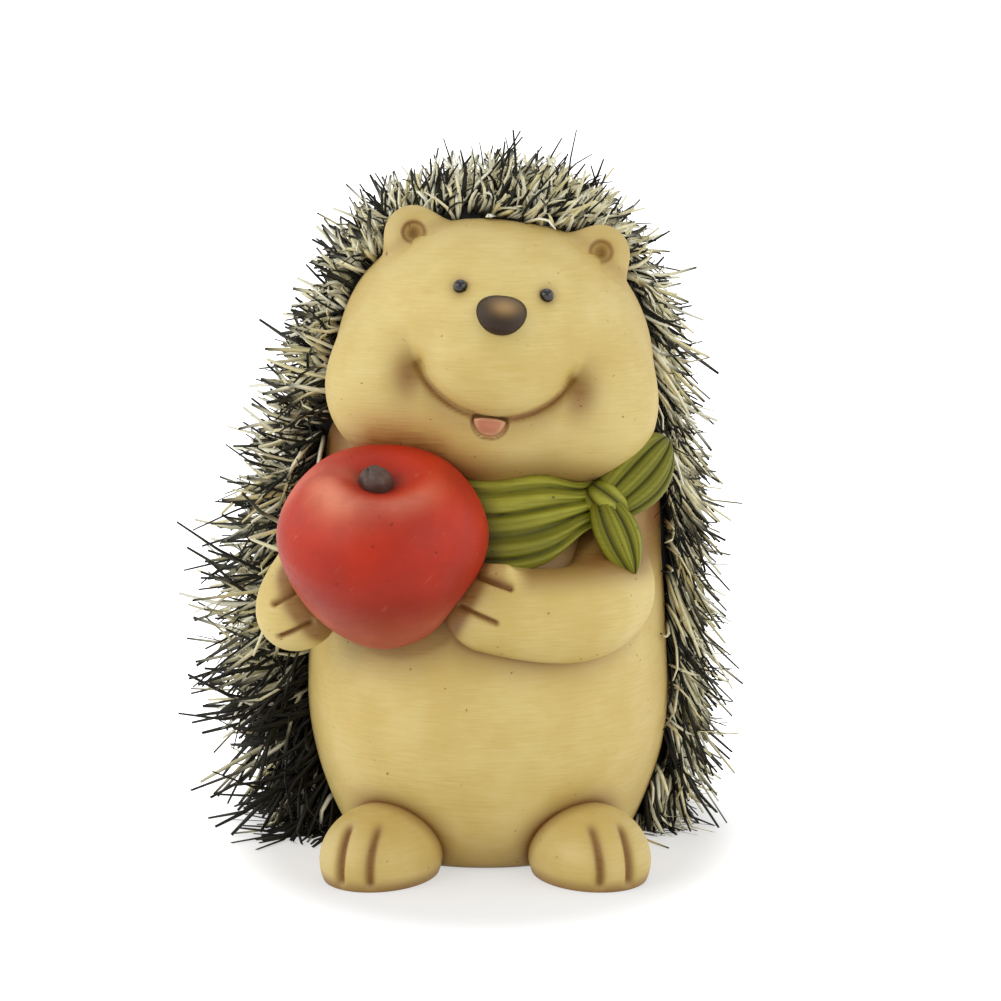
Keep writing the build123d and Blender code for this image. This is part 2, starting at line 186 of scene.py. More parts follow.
def mesh_object(name, vertices, quads, triangles, values):
    """Object with smooth faces from corner numbers, with one float attribute per entry of values."""
    corners = np.concatenate([quads.ravel(), triangles.ravel()]).astype(np.int32)
    starts = np.concatenate([np.arange(len(quads)) * 4, len(quads) * 4 + np.arange(len(triangles)) * 3])
    mesh = bpy.data.meshes.new(name)
    mesh.vertices.add(len(vertices))
    mesh.vertices.foreach_set("co", (vertices * MM).astype(np.float32).ravel())
    mesh.loops.add(len(corners))
    mesh.loops.foreach_set("vertex_index", corners)
    mesh.polygons.add(len(starts))
    mesh.polygons.foreach_set("loop_start", starts.astype(np.int32))
    mesh.polygons.foreach_set("use_smooth", np.ones(len(starts), bool))
    mesh.update(calc_edges=True)
    mesh.validate()
    for key, value in values.items():
        layer = mesh.attributes.new(key, "FLOAT", "POINT")
        layer.data.foreach_set("value", np.asarray(value, np.float32).ravel())
    obj = bpy.data.objects.new(name, mesh)
    bpy.context.scene.collection.objects.link(obj)
    return obj


# %% Closed skins
def outward(vertices, quads, triangles):
    """The same faces, turned round if the volume that they enclose comes out negative."""
    fans = np.concatenate([quads[:, [0, 1, 2]], quads[:, [0, 2, 3]], triangles])
    first, second, third = vertices[fans[:, 0]], vertices[fans[:, 1]], vertices[fans[:, 2]]
    if (first * np.cross(second, third)).sum() < 0:
        return quads[:, ::-1], triangles[:, ::-1]
    return quads, triangles


def grid_object(name, points, values):
    """Closed object from a rows x columns grid of points, joined round, with a fan at each end row.

    Each of its values is spread over the grid, and its mean over an end row goes to that end's fan."""
    rows, columns = points.shape[:2]
    quads = grid_faces(rows, columns, around=True)
    ends = np.stack([points[0].mean(0), points[-1].mean(0)])
    vertices = np.concatenate([points.reshape(-1, 3), ends])
    ring = np.arange(columns)
    following = np.roll(ring, -1)
    last = (rows - 1) * columns
    low_fan = np.stack([following, ring, np.full(columns, rows * columns)], -1)
    high_fan = np.stack([last + ring, last + following, np.full(columns, rows * columns + 1)], -1)
    quads, triangles = outward(vertices, quads, np.concatenate([low_fan, high_fan]))
    filled = {}
    for key, value in values.items():
        spread = np.broadcast_to(value, (rows, columns))
        filled[key] = np.append(spread, [spread[0].mean(), spread[-1].mean()])
    return mesh_object(name, vertices, quads, triangles, filled)


# %% Finished pieces
def finished(obj, material, slot, *nodes):
    """Give a piece its material, tie it to the figure's one body and let it stand for its nodes."""
    obj.data.materials.append(material)
    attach(obj, "root")
    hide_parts(*nodes)
    print(obj.name, len(obj.data.polygons), "faces for", ", ".join(nodes))


# %% [markdown]
# ## Paint and fibre
#
# Painted clay has three layers to the eye: a base colour that the brush left a little uneven, a brown wash
# that was wiped off the high places and stayed in the creases, and pinholes where bubbles broke. The same
# brown also paints the shade in creases, under things and by neighbouring pieces. One node group makes that
# finish, and every painted piece brings its own colours to it. Each material could hold these nodes itself,
# but one group keeps all pieces alike, as one hand's paint is.


# %% Colours and nodes
def srgb(red, green, blue):
    """Linear colour from the 0 to 255 values that a picture shows."""
    shown = np.array([red, green, blue]) / 255
    linear = np.where(shown <= 0.04045, shown / 12.92, ((shown + 0.055) / 1.055) ** 2.4)
    return (*linear.tolist(), 1.0)


def add_node(tree, kind, inputs=None, **settings):
    """New node with its properties set; inputs gives socket values, or sockets to link from."""
    node = tree.nodes.new(kind)
    for key, value in settings.items():
        setattr(node, key, value)
    for key, value in (inputs or {}).items():
        if isinstance(value, bpy.types.NodeSocket):
            tree.links.new(value, node.inputs[key])
        else:
            node.inputs[key].default_value = value
    return node


def mix_colour(tree, share, first, second):
    """Colour socket between two colours; a Mix node's colours are its sockets 6 and 7."""
    return add_node(tree, "ShaderNodeMix", {0: share, 6: first, 7: second}, data_type="RGBA").outputs[2]


def maths(tree, operation, first, second=0.0):
    """Value socket of one sum."""
    return add_node(tree, "ShaderNodeMath", {0: first, 1: second}, operation=operation).outputs[0]


# %% Patterns and materials
def ramp(tree, value, low, high):
    """Value socket that rises smoothly from 0 to 1 as value goes from low to high."""
    inputs = {"Value": value, "From Min": low, "From Max": high}
    return add_node(tree, "ShaderNodeMapRange", inputs, interpolation_type="SMOOTHSTEP").outputs[0]


def attribute(tree, name):
    """Value socket of a per-point attribute."""
    return add_node(tree, "ShaderNodeAttribute", attribute_name=name).outputs["Fac"]


def noise(tree, place, scale, detail=3.0):
    """Value socket of cloudy noise, with scale in clouds per metre."""
    inputs = {"Vector": place, "Scale": scale, "Detail": detail}
    return add_node(tree, "ShaderNodeTexNoise", inputs).outputs[0]


def new_material(name, inputs=None):
    """Material with an empty tree, and its Principled surface with the given inputs."""
    material = bpy.data.materials.new(name)
    material.use_nodes = True
    tree = material.node_tree
    tree.nodes.clear()
    surface = add_node(tree, "ShaderNodeBsdfPrincipled", inputs)
    add_node(tree, "ShaderNodeOutputMaterial", {"Surface": surface.outputs[0]})
    print("material:", name)
    return material, tree, surface


# %% Sockets of the painted finish
finish = bpy.data.node_groups.new("painted finish", "ShaderNodeTree")
finish_sockets = (
    ("INPUT", "Color", ("Base", "Worn", "Wash and shade")),
    ("INPUT", "Float", ("Wash and shade share", "Strokes")),
    ("OUTPUT", "Color", ("Color",)),
    ("OUTPUT", "Float", ("Roughness",)),
    ("OUTPUT", "Vector", ("Normal",)),
)
for side, kind, socket_names in finish_sockets:
    for socket_name in socket_names:
        finish.interface.new_socket(socket_name, in_out=side, socket_type=f"NodeSocket{kind}")

# %% Strokes, clouds and bubbles of the painted finish
given = add_node(finish, "NodeGroupInput").outputs
place = add_node(finish, "ShaderNodeTexCoord").outputs["Object"]
strokes_place = add_node(finish, "ShaderNodeMapping", {"Vector": place, "Scale": (130, 130, 1900)})
strokes = noise(finish, strokes_place.outputs[0], 1.0, 2.0)
clouds = noise(finish, place, 55.0, 4.0)
grain = noise(finish, place, 900.0, 2.0)
bubbles = add_node(finish, "ShaderNodeTexVoronoi", {"Vector": place, "Scale": 240.0}).outputs["Distance"]
open_bubbles = maths(finish, "MULTIPLY", ramp(finish, bubbles, 0.16, 0.08), ramp(finish, grain, 0.57, 0.66))
brushed = maths(finish, "MULTIPLY", strokes, given["Strokes"])
calm = maths(finish, "MULTIPLY", clouds, maths(finish, "SUBTRACT", 1.0, given["Strokes"]))
uneven = maths(finish, "ADD", brushed, calm)
base = mix_colour(finish, ramp(finish, uneven, 0.34, 0.66), given["Worn"], given["Base"])
patchy = maths(finish, "ADD", maths(finish, "MULTIPLY", uneven, 1.1), 0.45)
# how much umber lies on a place: the settled wash and the painted shade, unevenly, and the pinholes
wash_and_shade_share = maths(finish, "MULTIPLY", given["Wash and shade share"], patchy)
wash_and_shade_share = maths(finish, "ADD", wash_and_shade_share, maths(finish, "MULTIPLY", open_bubbles, 0.7))
wash_and_shade_share = maths(finish, "MINIMUM", wash_and_shade_share, 1.0)
washed_and_shaded = mix_colour(finish, wash_and_shade_share, base, given["Wash and shade"])
relief = maths(finish, "ADD", brushed, maths(finish, "MULTIPLY", clouds, 0.8))
relief = maths(finish, "SUBTRACT", relief, open_bubbles)
bump_inputs = {"Height": relief, "Strength": 0.45, "Distance": 0.0006}
bumps = add_node(finish, "ShaderNodeBump", bump_inputs).outputs[0]
roughness = maths(finish, "ADD", 0.42, maths(finish, "MULTIPLY", grain, 0.25))
add_node(finish, "NodeGroupOutput", {"Color": washed_and_shaded, "Roughness": roughness, "Normal": bumps})
print("painted finish:", len(finish.nodes), "nodes")


# %% Painted surfaces
def painted(tree, surface, base_colour, worn, wash_and_shade, wash_and_shade_value, strokes=0.3):
    """Put the painted finish on a surface; the colours may be sockets."""
    inputs = {"Base": base_colour, "Worn": worn, "Wash and shade": wash_and_shade, "Wash and shade share": wash_and_shade_value, "Strokes": strokes}
    group = add_node(tree, "ShaderNodeGroup", inputs, node_tree=finish)
    for output, key in (("Color", "Base Color"), ("Roughness", "Roughness"), ("Normal", "Normal")):
        tree.links.new(group.outputs[output], surface.inputs[key])


def clay_values(wash_and_shade, brown=0.0, blush=0.0):
    """The three values that the clay's material reads."""
    return {"wash_and_shade": wash_and_shade, "brown": brown, "blush": blush}


# %% Clay
cream = srgb(217, 195, 125)
cream_worn = srgb(205, 178, 100)
umber_wash_and_shade = srgb(128, 84, 30)
brown_paint = srgb(96, 66, 40)
brown_worn = srgb(120, 86, 50)
apple_blush = srgb(176, 96, 48)
# the wash value holds the settled brown wash and painted shade, "brown" the parts painted brown, "blush" a
# red tint by the apple
clay, tree, surface = new_material("cream clay")
bare = mix_colour(tree, attribute(tree, "brown"), cream, brown_paint)
bare = mix_colour(tree, attribute(tree, "blush"), bare, apple_blush)
rubbed = mix_colour(tree, attribute(tree, "brown"), cream_worn, brown_worn)
painted(tree, surface, bare, rubbed, umber_wash_and_shade, attribute(tree, "wash_and_shade"))

# %% Apple paint
apple_gloss = {"Coat Weight": 0.06, "Coat Roughness": 0.3, "Specular IOR Level": 0.25}
apple_paint, tree, surface = new_material("apple paint", apple_gloss)
skin = mix_colour(tree, attribute(tree, "top"), srgb(148, 34, 8), srgb(190, 42, 4))
# painted highlights round the shoulder, a painted reflection down the left edge, painted bounce light low
# down, partly wear
skin = mix_colour(tree, attribute(tree, "painted_light_and_wear"), skin, srgb(226, 136, 104))
object_place = add_node(tree, "ShaderNodeTexCoord").outputs["Object"]
scratch_size = (1 / 900, 1 / 300, 1 / 60)
scratch_tilt = (0.0, 0.75, 0.0)
scratch_inputs = {"Vector": object_place, "Rotation": scratch_tilt, "Scale": scratch_size}
scratch_place = add_node(tree, "ShaderNodeMapping", scratch_inputs, vector_type="TEXTURE").outputs[0]
scratches = ramp(tree, noise(tree, scratch_place, 1.0, 2.0), 0.66, 0.74)
skin = mix_colour(tree, maths(tree, "MULTIPLY", scratches, 0.12), skin, srgb(222, 158, 126))
darker = mix_colour(tree, 0.5, skin, srgb(138, 28, 12))
painted(tree, surface, skin, darker, srgb(70, 26, 14), attribute(tree, "wash_and_shade"), 0.06)

# %% Scarf paint
scarf_paint, tree, surface = new_material("scarf paint", {"Specular IOR Level": 0.25})
# ridges lighter, dry-brushed paint with a painted highlight; valleys darker, painted shade
drybrush_and_fold_shading = attribute(tree, "drybrush_and_fold_shading")
olive = mix_colour(tree, ramp(tree, drybrush_and_fold_shading, 0.1, 0.6), srgb(38, 42, 0), srgb(120, 118, 20))
olive = mix_colour(tree, ramp(tree, drybrush_and_fold_shading, 0.55, 1.0), olive, srgb(178, 176, 66))
deeper = mix_colour(tree, 0.4, olive, srgb(78, 78, 6))
painted(tree, surface, olive, deeper, srgb(44, 36, 6), attribute(tree, "wash_and_shade"))

# %% Paint of the small pieces
stem_paint, tree, surface = new_material("stem paint")
painted(tree, surface, srgb(84, 60, 48), srgb(62, 42, 34), srgb(30, 20, 14), attribute(tree, "wash_and_shade"))

nose_paint, tree, surface = new_material("nose paint", {"Specular IOR Level": 0.2})
# tan on the nose's upper right: partly rubbed paint, partly a painted highlight on its lit top
nose_rubbed_and_lit = mix_colour(tree, attribute(tree, "rub_and_highlight"), srgb(50, 36, 28), srgb(158, 128, 84))
painted(tree, surface, nose_rubbed_and_lit, nose_rubbed_and_lit, srgb(24, 16, 10), attribute(tree, "wash_and_shade"))

tongue_paint, tree, surface = new_material("tongue paint")
tongue_tint = mix_colour(tree, attribute(tree, "rim"), srgb(196, 128, 96), srgb(226, 186, 140))
painted(tree, surface, tongue_tint, srgb(184, 118, 84), srgb(84, 48, 24), attribute(tree, "wash_and_shade"))

bead, tree, surface = new_material("black bead", {"Roughness": 0.22})
object_place = add_node(tree, "ShaderNodeTexCoord").outputs["Object"]
smear = ramp(tree, noise(tree, object_place, 700.0), 0.45, 0.65)
tree.links.new(mix_colour(tree, smear, srgb(16, 13, 11), srgb(34, 27, 20)), surface.inputs["Base Color"])

# %% Fibre
fibre, tree, surface = new_material("plant fibre", {"Roughness": 0.55, "Specular IOR Level": 0.12})
straw = mix_colour(tree, attribute(tree, "shade"), srgb(246, 234, 178), srgb(255, 253, 232))
fibre_tint = mix_colour(tree, attribute(tree, "tone"), srgb(12, 11, 10), straw)
tree.links.new(fibre_tint, surface.inputs["Base Color"])

# %% [markdown]
# ## The body
#
# The real body is one casting: a tall round back and, in front of it, a pear-shaped belly. Each is a
# standing egg, a circular arc below its widest height and a superellipse above. Every level of the body is
# two circles, so one ray from a shared axis meets both, and the farther hit, rounded where they cross, is
# the skin. A boolean of two turned solids would give the same form with a sharp seam, which fired clay has
# not.

# %% Body shape
back_axis = np.array([1.5, 13.0])
back_egg = dict(base=40.0, widest=50.0, wide_z=45.0, top=176.5, power=2.98)
belly_axis = np.array([0.0, -6.0])
belly_egg = dict(base=35.0, widest=48.6, wide_z=43.0, top=112.0, power=2.02)
body_axis = np.array([0.8, 3.5])
waist_round = 9.0
base_round = 1.6


def egg_radius(z, base, widest, wide_z, top, power):
    """Radius of a standing egg at height z: an arc up to its widest height, a superellipse above."""
    swing = ((widest - base) ** 2 + wide_z ** 2) / (2 * (widest - base))
    low = widest - swing + np.sqrt(np.maximum(swing ** 2 - (z - wide_z) ** 2, 0))
    share = np.clip((z - wide_z) / (top - wide_z), 0, 1)
    return np.where(z < wide_z, low, widest * (1 - share ** power) ** (1 / power))


def circle_reach(axis, radius, turn):
    """Distance from the body's axis, in the direction turn, to a circle's far side; 0 where it misses."""
    offset = axis - body_axis
    along = offset[0] * np.sin(turn) - offset[1] * np.cos(turn)
    inside = radius ** 2 - (offset @ offset - along ** 2)
    return np.where(inside > 0, along + np.sqrt(np.maximum(inside, 0)), 0.0)


def body_reach(z, turn):
    """Radius of the body about its axis at height z in the direction turn, 0 at the front."""
    back = circle_reach(back_axis, egg_radius(z, **back_egg), turn)
    belly = circle_reach(belly_axis, egg_radius(z, **belly_egg), turn)
    return -blend_min(-back, -belly, waist_round)


def on_body(z, turn, lift=0.0):
    """Points of the body's skin, lifted off it sideways."""
    radius = body_reach(z, turn) + lift
    x = body_axis[0] + radius * np.sin(turn)
    y = body_axis[1] - radius * np.cos(turn)
    return places(x, y, z)


def body_distance(points):
    """About how far points are outside the body, measured level."""
    x = points[..., 0] - body_axis[0]
    y = points[..., 1] - body_axis[1]
    return np.hypot(x, y) - body_reach(points[..., 2], np.arctan2(x, -y))


# %% [markdown]
# ## The head
#
# The head is a ball pressed a little flat, with a muzzle pushed out of it. The muzzle's lower edge is
# crisp, and that edge is the smile; above, it flows into the forehead. So the head is a smooth union of a
# skull egg, a muzzle ball, two cheeks and a chin, and the fillet's reach grows from the smile upwards. Rays
# from the middle find the skin by halving an interval forty times, all rays at once. Metaballs could join
# such balls too, but with one fillet everywhere.

# %% Place and sizes of the head
head_centre = np.array([2.5, -6.0, 135.0])
head_roll = 6.0
cheek_z = -6.0
cheek_pad = np.array([23.0, -17.5, -8.0])
cheek_pad_radius = 22.0
chin_pad = np.array([0, -24.0, -14.0])
chin_pad_radius = 17.0
pad_fillet = 6.0
skull_egg = dict(radius=43.9, drop=29.0, rise=45.0, low_power=1.9, high_power=2.23)
muzzle_centre = np.array([0.0, -27.5, 5.0])
muzzle_radius = 22.0
crease_fillet = 2.5
brow_fillet = 14.0


def to_head(points):
    """World points in the head's own frame, unrolled."""
    return rolled(points - head_centre, -head_roll)


def from_head(points):
    """Points of the head's own frame in the world."""
    return rolled(points, head_roll) + head_centre


# %% Skin of the head
def egg_distance(points, radius, drop, rise, low_power, high_power):
    """How far points are outside a superellipse egg, measured along the ray from its middle."""
    x, y, z = np.moveaxis(points, -1, 0)
    power = np.where(z > 0, high_power, low_power)
    share = (np.hypot(x, y) / radius) ** power + (np.abs(z) / np.where(z > 0, rise, drop)) ** power
    share = np.maximum(share, 1e-6) ** (1 / power)
    return length(points) * (1 - 1 / share)


def head_distance(points):
    """How far points of the head's frame are outside its skin."""
    skull = egg_distance(points - np.array([0, 0, cheek_z]), **skull_egg)
    mirrored = places(np.abs(points[..., 0]), points[..., 1], points[..., 2])
    cheeks = length(mirrored - cheek_pad) - cheek_pad_radius
    chin = length(points - chin_pad) - chin_pad_radius
    muzzle = length(points - muzzle_centre) - muzzle_radius
    face = blend_min(blend_min(skull, cheeks, pad_fillet), chin, pad_fillet)
    reach = crease_fillet + brow_fillet * step(2.0, 20.0, points[..., 2])
    return blend_min(face, muzzle, reach)


def ray_hits(distance, starts, directions, far):
    """Where rays from inside a shape leave it: halve the interval from 0 to far forty times."""
    low = np.zeros(directions.shape[:-1])
    high = np.full(directions.shape[:-1], far)
    for _ in range(40):
        middle = (low + high) / 2
        outside = distance(starts + middle[..., None] * directions) > 0
        high = np.where(outside, middle, high)
        low = np.where(outside, low, middle)
    return low


# %% Places on the face
face_start_y = -5.0
eye_x = 11.4
eye_z = 22.8


def face_point(x, z, lift=0.0):
    """Points of the face at x, z of the head's frame, lifted forward off its skin."""
    starts = places(x, face_start_y, z)
    forward = np.broadcast_to(np.array([0, -1.0, 0]), starts.shape)
    reach = ray_hits(head_distance, starts, forward, 80.0)
    return places(x, face_start_y - reach - lift, z)


def face_share(y):
    """1 on the face, fading to 0 towards the head's sides."""
    return step(face_start_y, -20.0, y)


def eye_distance(x, z):
    """Distance on the face from the middle of the nearer eye."""
    return np.hypot(np.abs(x) - eye_x, z - eye_z)


# %% The smile
smile_centre_z = 13.4
smile_radius = 24.5
smile_end = math.radians(30)
smile_end_x = smile_radius * math.cos(smile_end)
smile_end_z = smile_centre_z - smile_radius * math.sin(smile_end)


def inside_smile(x, z):
    """How far places on the face are inside the smile's circle; negative outside it."""
    return smile_radius - np.hypot(x, z - smile_centre_z)


def smile_distance(x, z):
    """Distance on the face from the smile's line, an arc that ends a little below the muzzle's sides."""
    angle = np.clip(np.arctan2(np.abs(x), smile_centre_z - z), 0, math.pi / 2 - smile_end)
    line_x = smile_radius * np.sin(angle)
    line_z = smile_centre_z - smile_radius * np.cos(angle)
    return np.hypot(np.abs(x) - line_x, z - line_z)


def smile_corner(x, z):
    """Distance on the face from the nearer end of the smile."""
    return np.hypot(np.abs(x) - smile_end_x, z - smile_end_z)


# %% [markdown]
# ## Apple, arms and feet
#
# The apple is turned: a meridian carried once round, with five faint lobes. Arms are rolled sausages: a
# round section carried along a bent path, with rounded ends. Fingers and toes were pressed in with a tool,
# so they are grooves: the skin sinks where it is close to a groove's line. A screw modifier and a bevelled
# curve could make these forms, but not the values that the paint needs per point.

# %% Apple shape
apple_centre = np.array([-27.0, -49.4, 88.0])
apple_nod = 24.0
apple_radius = 28.0
apple_waist = 6.0
apple_bottom = 27.0
apple_top = 22.5
apple_taper = 0.23
apple_lobes = 5
dimple_depth = 7.5
dimple_reach = 10.0
blossom_depth = 3.0
blossom_reach = 6.0


def apple_points(rows, columns):
    """Apple skin, rows from its bottom to its dimple: a tapered egg whose top sinks in round the stem.

    Gives the points in place, and the same points before the nod, with the stem's axis upright."""
    slope = slopes(rows, 0.02)
    turn = turns(columns, 0.3)
    ring = apple_radius * np.cos(slope) ** 0.92 * (1 - apple_taper * step(0.1, -1.2, slope))
    lobe = np.cos(apple_lobes * turn + 0.6)
    ring = ring * (1 + 0.016 * lobe * np.sin(slope) + 0.02 * lobe * step(-0.2, -1.2, slope))
    height = apple_waist + np.where(slope > 0, apple_top, apple_bottom + apple_waist) * np.sin(slope)
    height = height - dimple_depth * near(ring, dimple_reach) * (slope > 0)
    height = height + blossom_depth * near(ring, blossom_reach) * (slope < 0)
    points = places(ring * np.sin(turn), -ring * np.cos(turn), height)
    points = points + 0.35 * waves(points, 24.0, 5)[..., None] * unit(points)
    return nodded(points, apple_nod) + apple_centre, points


def apple_distance(points):
    """About how far points are outside the apple."""
    return length(points - apple_centre) - apple_radius


# %% Limb shape
def bezier(controls, share):
    """Points of a cubic Bezier curve at each share of its run."""
    first, second, third, fourth = (np.asarray(control, float) for control in controls)
    share = np.asarray(share)[:, None]
    rest = 1 - share
    start_half = rest ** 3 * first + 3 * rest ** 2 * share * second
    return start_half + 3 * rest * share ** 2 * third + share ** 3 * fourth


def limb_points(controls, start_radius, end_radius, rows, columns):
    """Round section carried along a Bezier path, half a ball at each end; also the directions outwards."""
    fine = bezier(controls, np.linspace(0, 1, 200))
    run = np.concatenate([[0], np.cumsum(length(np.diff(fine, axis=0)))])
    total = run[-1]
    place = np.linspace(-start_radius, total + end_radius, rows)
    place = np.where(place < 0, -start_radius * np.sin(-place / start_radius * math.pi / 2), place)
    over = np.clip((place - total) / end_radius, 0, 1)
    place = np.where(place > total, total + end_radius * np.sin(over * math.pi / 2), place)
    clipped = np.clip(place, 0, total)
    spine = np.stack([np.interp(clipped, run, fine[:, axis]) for axis in range(3)], -1)
    tangents = unit(np.gradient(fine, axis=0))
    heading = unit(np.stack([np.interp(clipped, run, tangents[:, axis]) for axis in range(3)], -1))
    beyond = place - clipped
    radius = start_radius + (end_radius - start_radius) * clipped / total
    radius = np.sqrt(np.maximum(radius ** 2 - beyond ** 2, 0.01))
    centres = spine + beyond[:, None] * heading
    side = unit(np.cross(heading, np.array([0, 0, 1.0])))
    upward = np.cross(side, heading)
    turn = circle(columns)[..., None]
    ring = np.cos(turn) * side[:, None] + np.sin(turn) * upward[:, None]
    points = centres[:, None] + radius[:, None, None] * ring
    return points, unit(points - spine[:, None])


# %% Paths of the arms, and feet
left_paw = np.array([1.0, -50.0, 73.6])
left_arm_path = (left_paw, (18.0, -55.0, 72.0), (38.0, -45.0, 67.0), (31.0, -25.0, 82.0))
right_paw = np.array([-50.5, -42.0, 71.5])
right_arm_path = (right_paw, (-51.0, -36.0, 74.0), (-47.0, -26.0, 80.0), (-38.0, -16.0, 86.0))
foot_turn = 16.0
foot_middle = np.array([28.0, -44.5, 5.0])
foot_half_length = 22.0
foot_radius = 16.0
foot_rise = 13.8


def path_distance(points, controls, radius):
    """How far points are outside a limb of one radius on a Bezier path."""
    knots = bezier(controls, np.linspace(0, 1, 9))
    gaps = [segment_distance(points, start, end) for start, end in zip(knots[:-1], knots[1:])]
    return np.min(gaps, axis=0) - radius


def foot_distance(points, sign):
    """About how far points are outside a foot: an egg stretched along its own heading."""
    angle = math.radians(foot_turn) * sign
    offset = points - sided(foot_middle, sign)
    across = offset[..., 0] * math.cos(angle) + offset[..., 1] * math.sin(angle)
    along = -offset[..., 0] * math.sin(angle) + offset[..., 1] * math.cos(angle)
    level = (across / foot_radius) ** 2 + (along / foot_half_length) ** 2
    return (np.sqrt(level + (offset[..., 2] / foot_rise) ** 2) - 1) * foot_radius


# %% [markdown]
# ## Skin the body
#
# Wash settles where two pieces meet, and painted shade goes with it: round the feet, under the arm and the
# apple, along the scarf, by the coat's edge and at the base. Ambient occlusion could find such places, but
# with the distances of the neighbours each of them has a wash of its own width. The sides behind the cheeks,
# by the coat's edge, are painted brown.

# %% Body piece
coat_front_y = -4.0
belly_rows = np.linspace(base_round, belly_egg["top"], 150)
back_rows = np.linspace(belly_egg["top"] + 1.0, back_egg["top"] - 0.05, 40)
edge_rows = [0.0, 0.25, 0.8]
rows = np.concatenate([edge_rows, belly_rows, back_rows])[:, None]
turn = turns(300, 0.55)
edge_drop = base_round * (1 - np.sqrt(1 - np.clip(1 - rows / base_round, 0, 1) ** 2))
skin = on_body(rows, turn, -edge_drop)
swell = 0.4 * waves(skin, 38.0, 1) * step(4.0, 20.0, rows)
skin = skin + swell[..., None] * unit(skin * np.array([1, 1, 0]))
coat_gap = np.abs(skin[..., 1] - coat_front_y)
# each neighbour's distance, the reach of its wash and painted shade and the strength of it
neighbours = (
    (np.minimum(foot_distance(skin, -1), foot_distance(skin, 1)), 4.5, 0.9),
    (path_distance(skin, left_arm_path, 11.5), 6.0, 0.8),
    (path_distance(skin, right_arm_path, 10.0), 5.0, 0.8),
    (apple_distance(skin), 6.0, 0.7),
    (skin[..., 2], 9.0, 0.6),
    (coat_gap, 9.0, 0.7),
    (coat_gap, 22.0, 0.3),
)
body_wash_and_shade = np.max([share * wash_and_shade_at(distance, reach) for distance, reach, share in neighbours], axis=0)
# above the arms, under the scarf and the head, painted shade and wash darken the body
body_wash_and_shade = np.maximum(body_wash_and_shade, 0.8 * step(70.0, 84.0, rows))
body_brown = step(-16.0, -9.0, skin[..., 1] + 2.0 * waves(skin, 15.0, 2)) * step(84.0, 92.0, rows)
body_object = grid_object("body_skin", skin, clay_values(body_wash_and_shade, body_brown))
finished(body_object, clay, "clay_cream", "body_shell")

# %% [markdown]
# ## Skin the head
#
# The smile is a groove on the crease under the muzzle. It is deepest at its ends, where the real face has a
# pressed dimple with a smudge of wash and painted shade round it; painted shade also lies below the smile and
# under the chin. The eyes get shallow dents, and the cheek next to the apple is tinted red. A bump texture
# could draw the smile, but a groove in the mesh also catches a shadow.

# %% Rays of the head
slope = slopes(240, 0.01)
turn = turns(400, 0.6)
rays = places(np.cos(slope) * np.sin(turn), -np.cos(slope) * np.cos(turn), np.sin(slope))
reach = ray_hits(head_distance, np.zeros(3), rays, 90.0)
skin = reach[..., None] * rays
print("head reaches in mm:", round(reach.min(), 1), "to", round(reach.max(), 1))

# %% Wash of the head
tongue_z = -11.6
pocket_half_width = 4.9
pocket_rise = 1.2
pocket_drop = 4.8
corner_shade_place = (smile_end_x + 1.5, smile_end_z - 3.0)


def pocket_share(x, z):
    """Places on the face as a share of the way from the tongue's root to the edge of the mouth's pocket."""
    up = z - tongue_z
    return np.hypot(x / pocket_half_width, up / np.where(up > 0, pocket_rise, pocket_drop))


def head_wash_and_shade_at(local, world):
    """Umber and painted shade on the head: in the smile, round mouth and eyes, under the chin, by the coat
    and the apple.
    """
    x, y, z = np.moveaxis(local, -1, 0)
    front = face_share(y)
    smile = smile_distance(x, z)
    below = step(1.0, -0.5, inside_smile(x, z))
    corner_smudge_and_shade = np.hypot((np.abs(x) - corner_shade_place[0]) / 0.7, z - corner_shade_place[1])
    coat_gap = np.abs(world[..., 1] - coat_front_y)
    # painted shade below the smile, under the chin and by the apple; wash with painted shade in creases and
    # by the coat
    return np.max([
        near(smile, 1.0) * front,
        0.5 * near(smile, 4.5) * front * below,
        0.9 * near(corner_smudge_and_shade, 7.0) * front * (0.35 + 0.65 * below),
        0.95 * near(np.abs(pocket_share(x, z) - 1), 0.12) * front,
        0.6 * near(eye_distance(x, z), 2.5) * front,
        0.8 * step(-17.0, -30.0, z),
        0.6 * near(coat_gap, 8.0),
        0.3 * near(coat_gap, 18.0),
        0.6 * near(apple_distance(world), 5.0),
    ], axis=0)


# %% Head piece
muzzle_step = 1.8
smile_depth = 1.9
smile_width = 1.15
corner_depth = 1.8
eye_dent = 0.9
pocket_depth = 1.4
x, y, z = np.moveaxis(skin, -1, 0)
front = face_share(y)
sink = smile_depth * near(smile_distance(x, z), smile_width) + corner_depth * near(smile_corner(x, z), 3.0)
sink = sink + eye_dent * near(eye_distance(x, z), 2.6) + pocket_depth * step(1.12, 0.9, pocket_share(x, z))
bulge = muzzle_step * step(0.0, 4.5, inside_smile(x, z)) * step(13.0, 3.0, z)
reach = reach + (bulge - sink) * front + 0.3 * waves(skin, 30.0, 3)
local = reach[..., None] * rays
skin = from_head(local)
head_wash_and_shade = head_wash_and_shade_at(local, skin)
head_blush = 0.9 * near(apple_distance(skin) - 2.0, 7.0) * step(-4.0, -14.0, x)
head_brown = step(-2.0, 4.0, skin[..., 1] + 1.5 * waves(skin, 14.0, 4))
head_values = clay_values(head_wash_and_shade, head_brown, head_blush)
finished(grid_object("head_skin", skin, head_values), clay, "clay_cream", "head_shell")

# %% [markdown]
# ## Ears, eyes, nose and tongue
#
# An ear is a pressed ball of clay with a thumb pit: a flat egg whose front sinks in a bell-shaped pit. The
# nose is a rounded triangle laid on the muzzle: each point takes the muzzle's skin and is lifted off it.
# The tongue is done the same way in the mouth's pocket. They could be sculpted by hand, but as formulas
# they stay joined to the head when its shape changes.

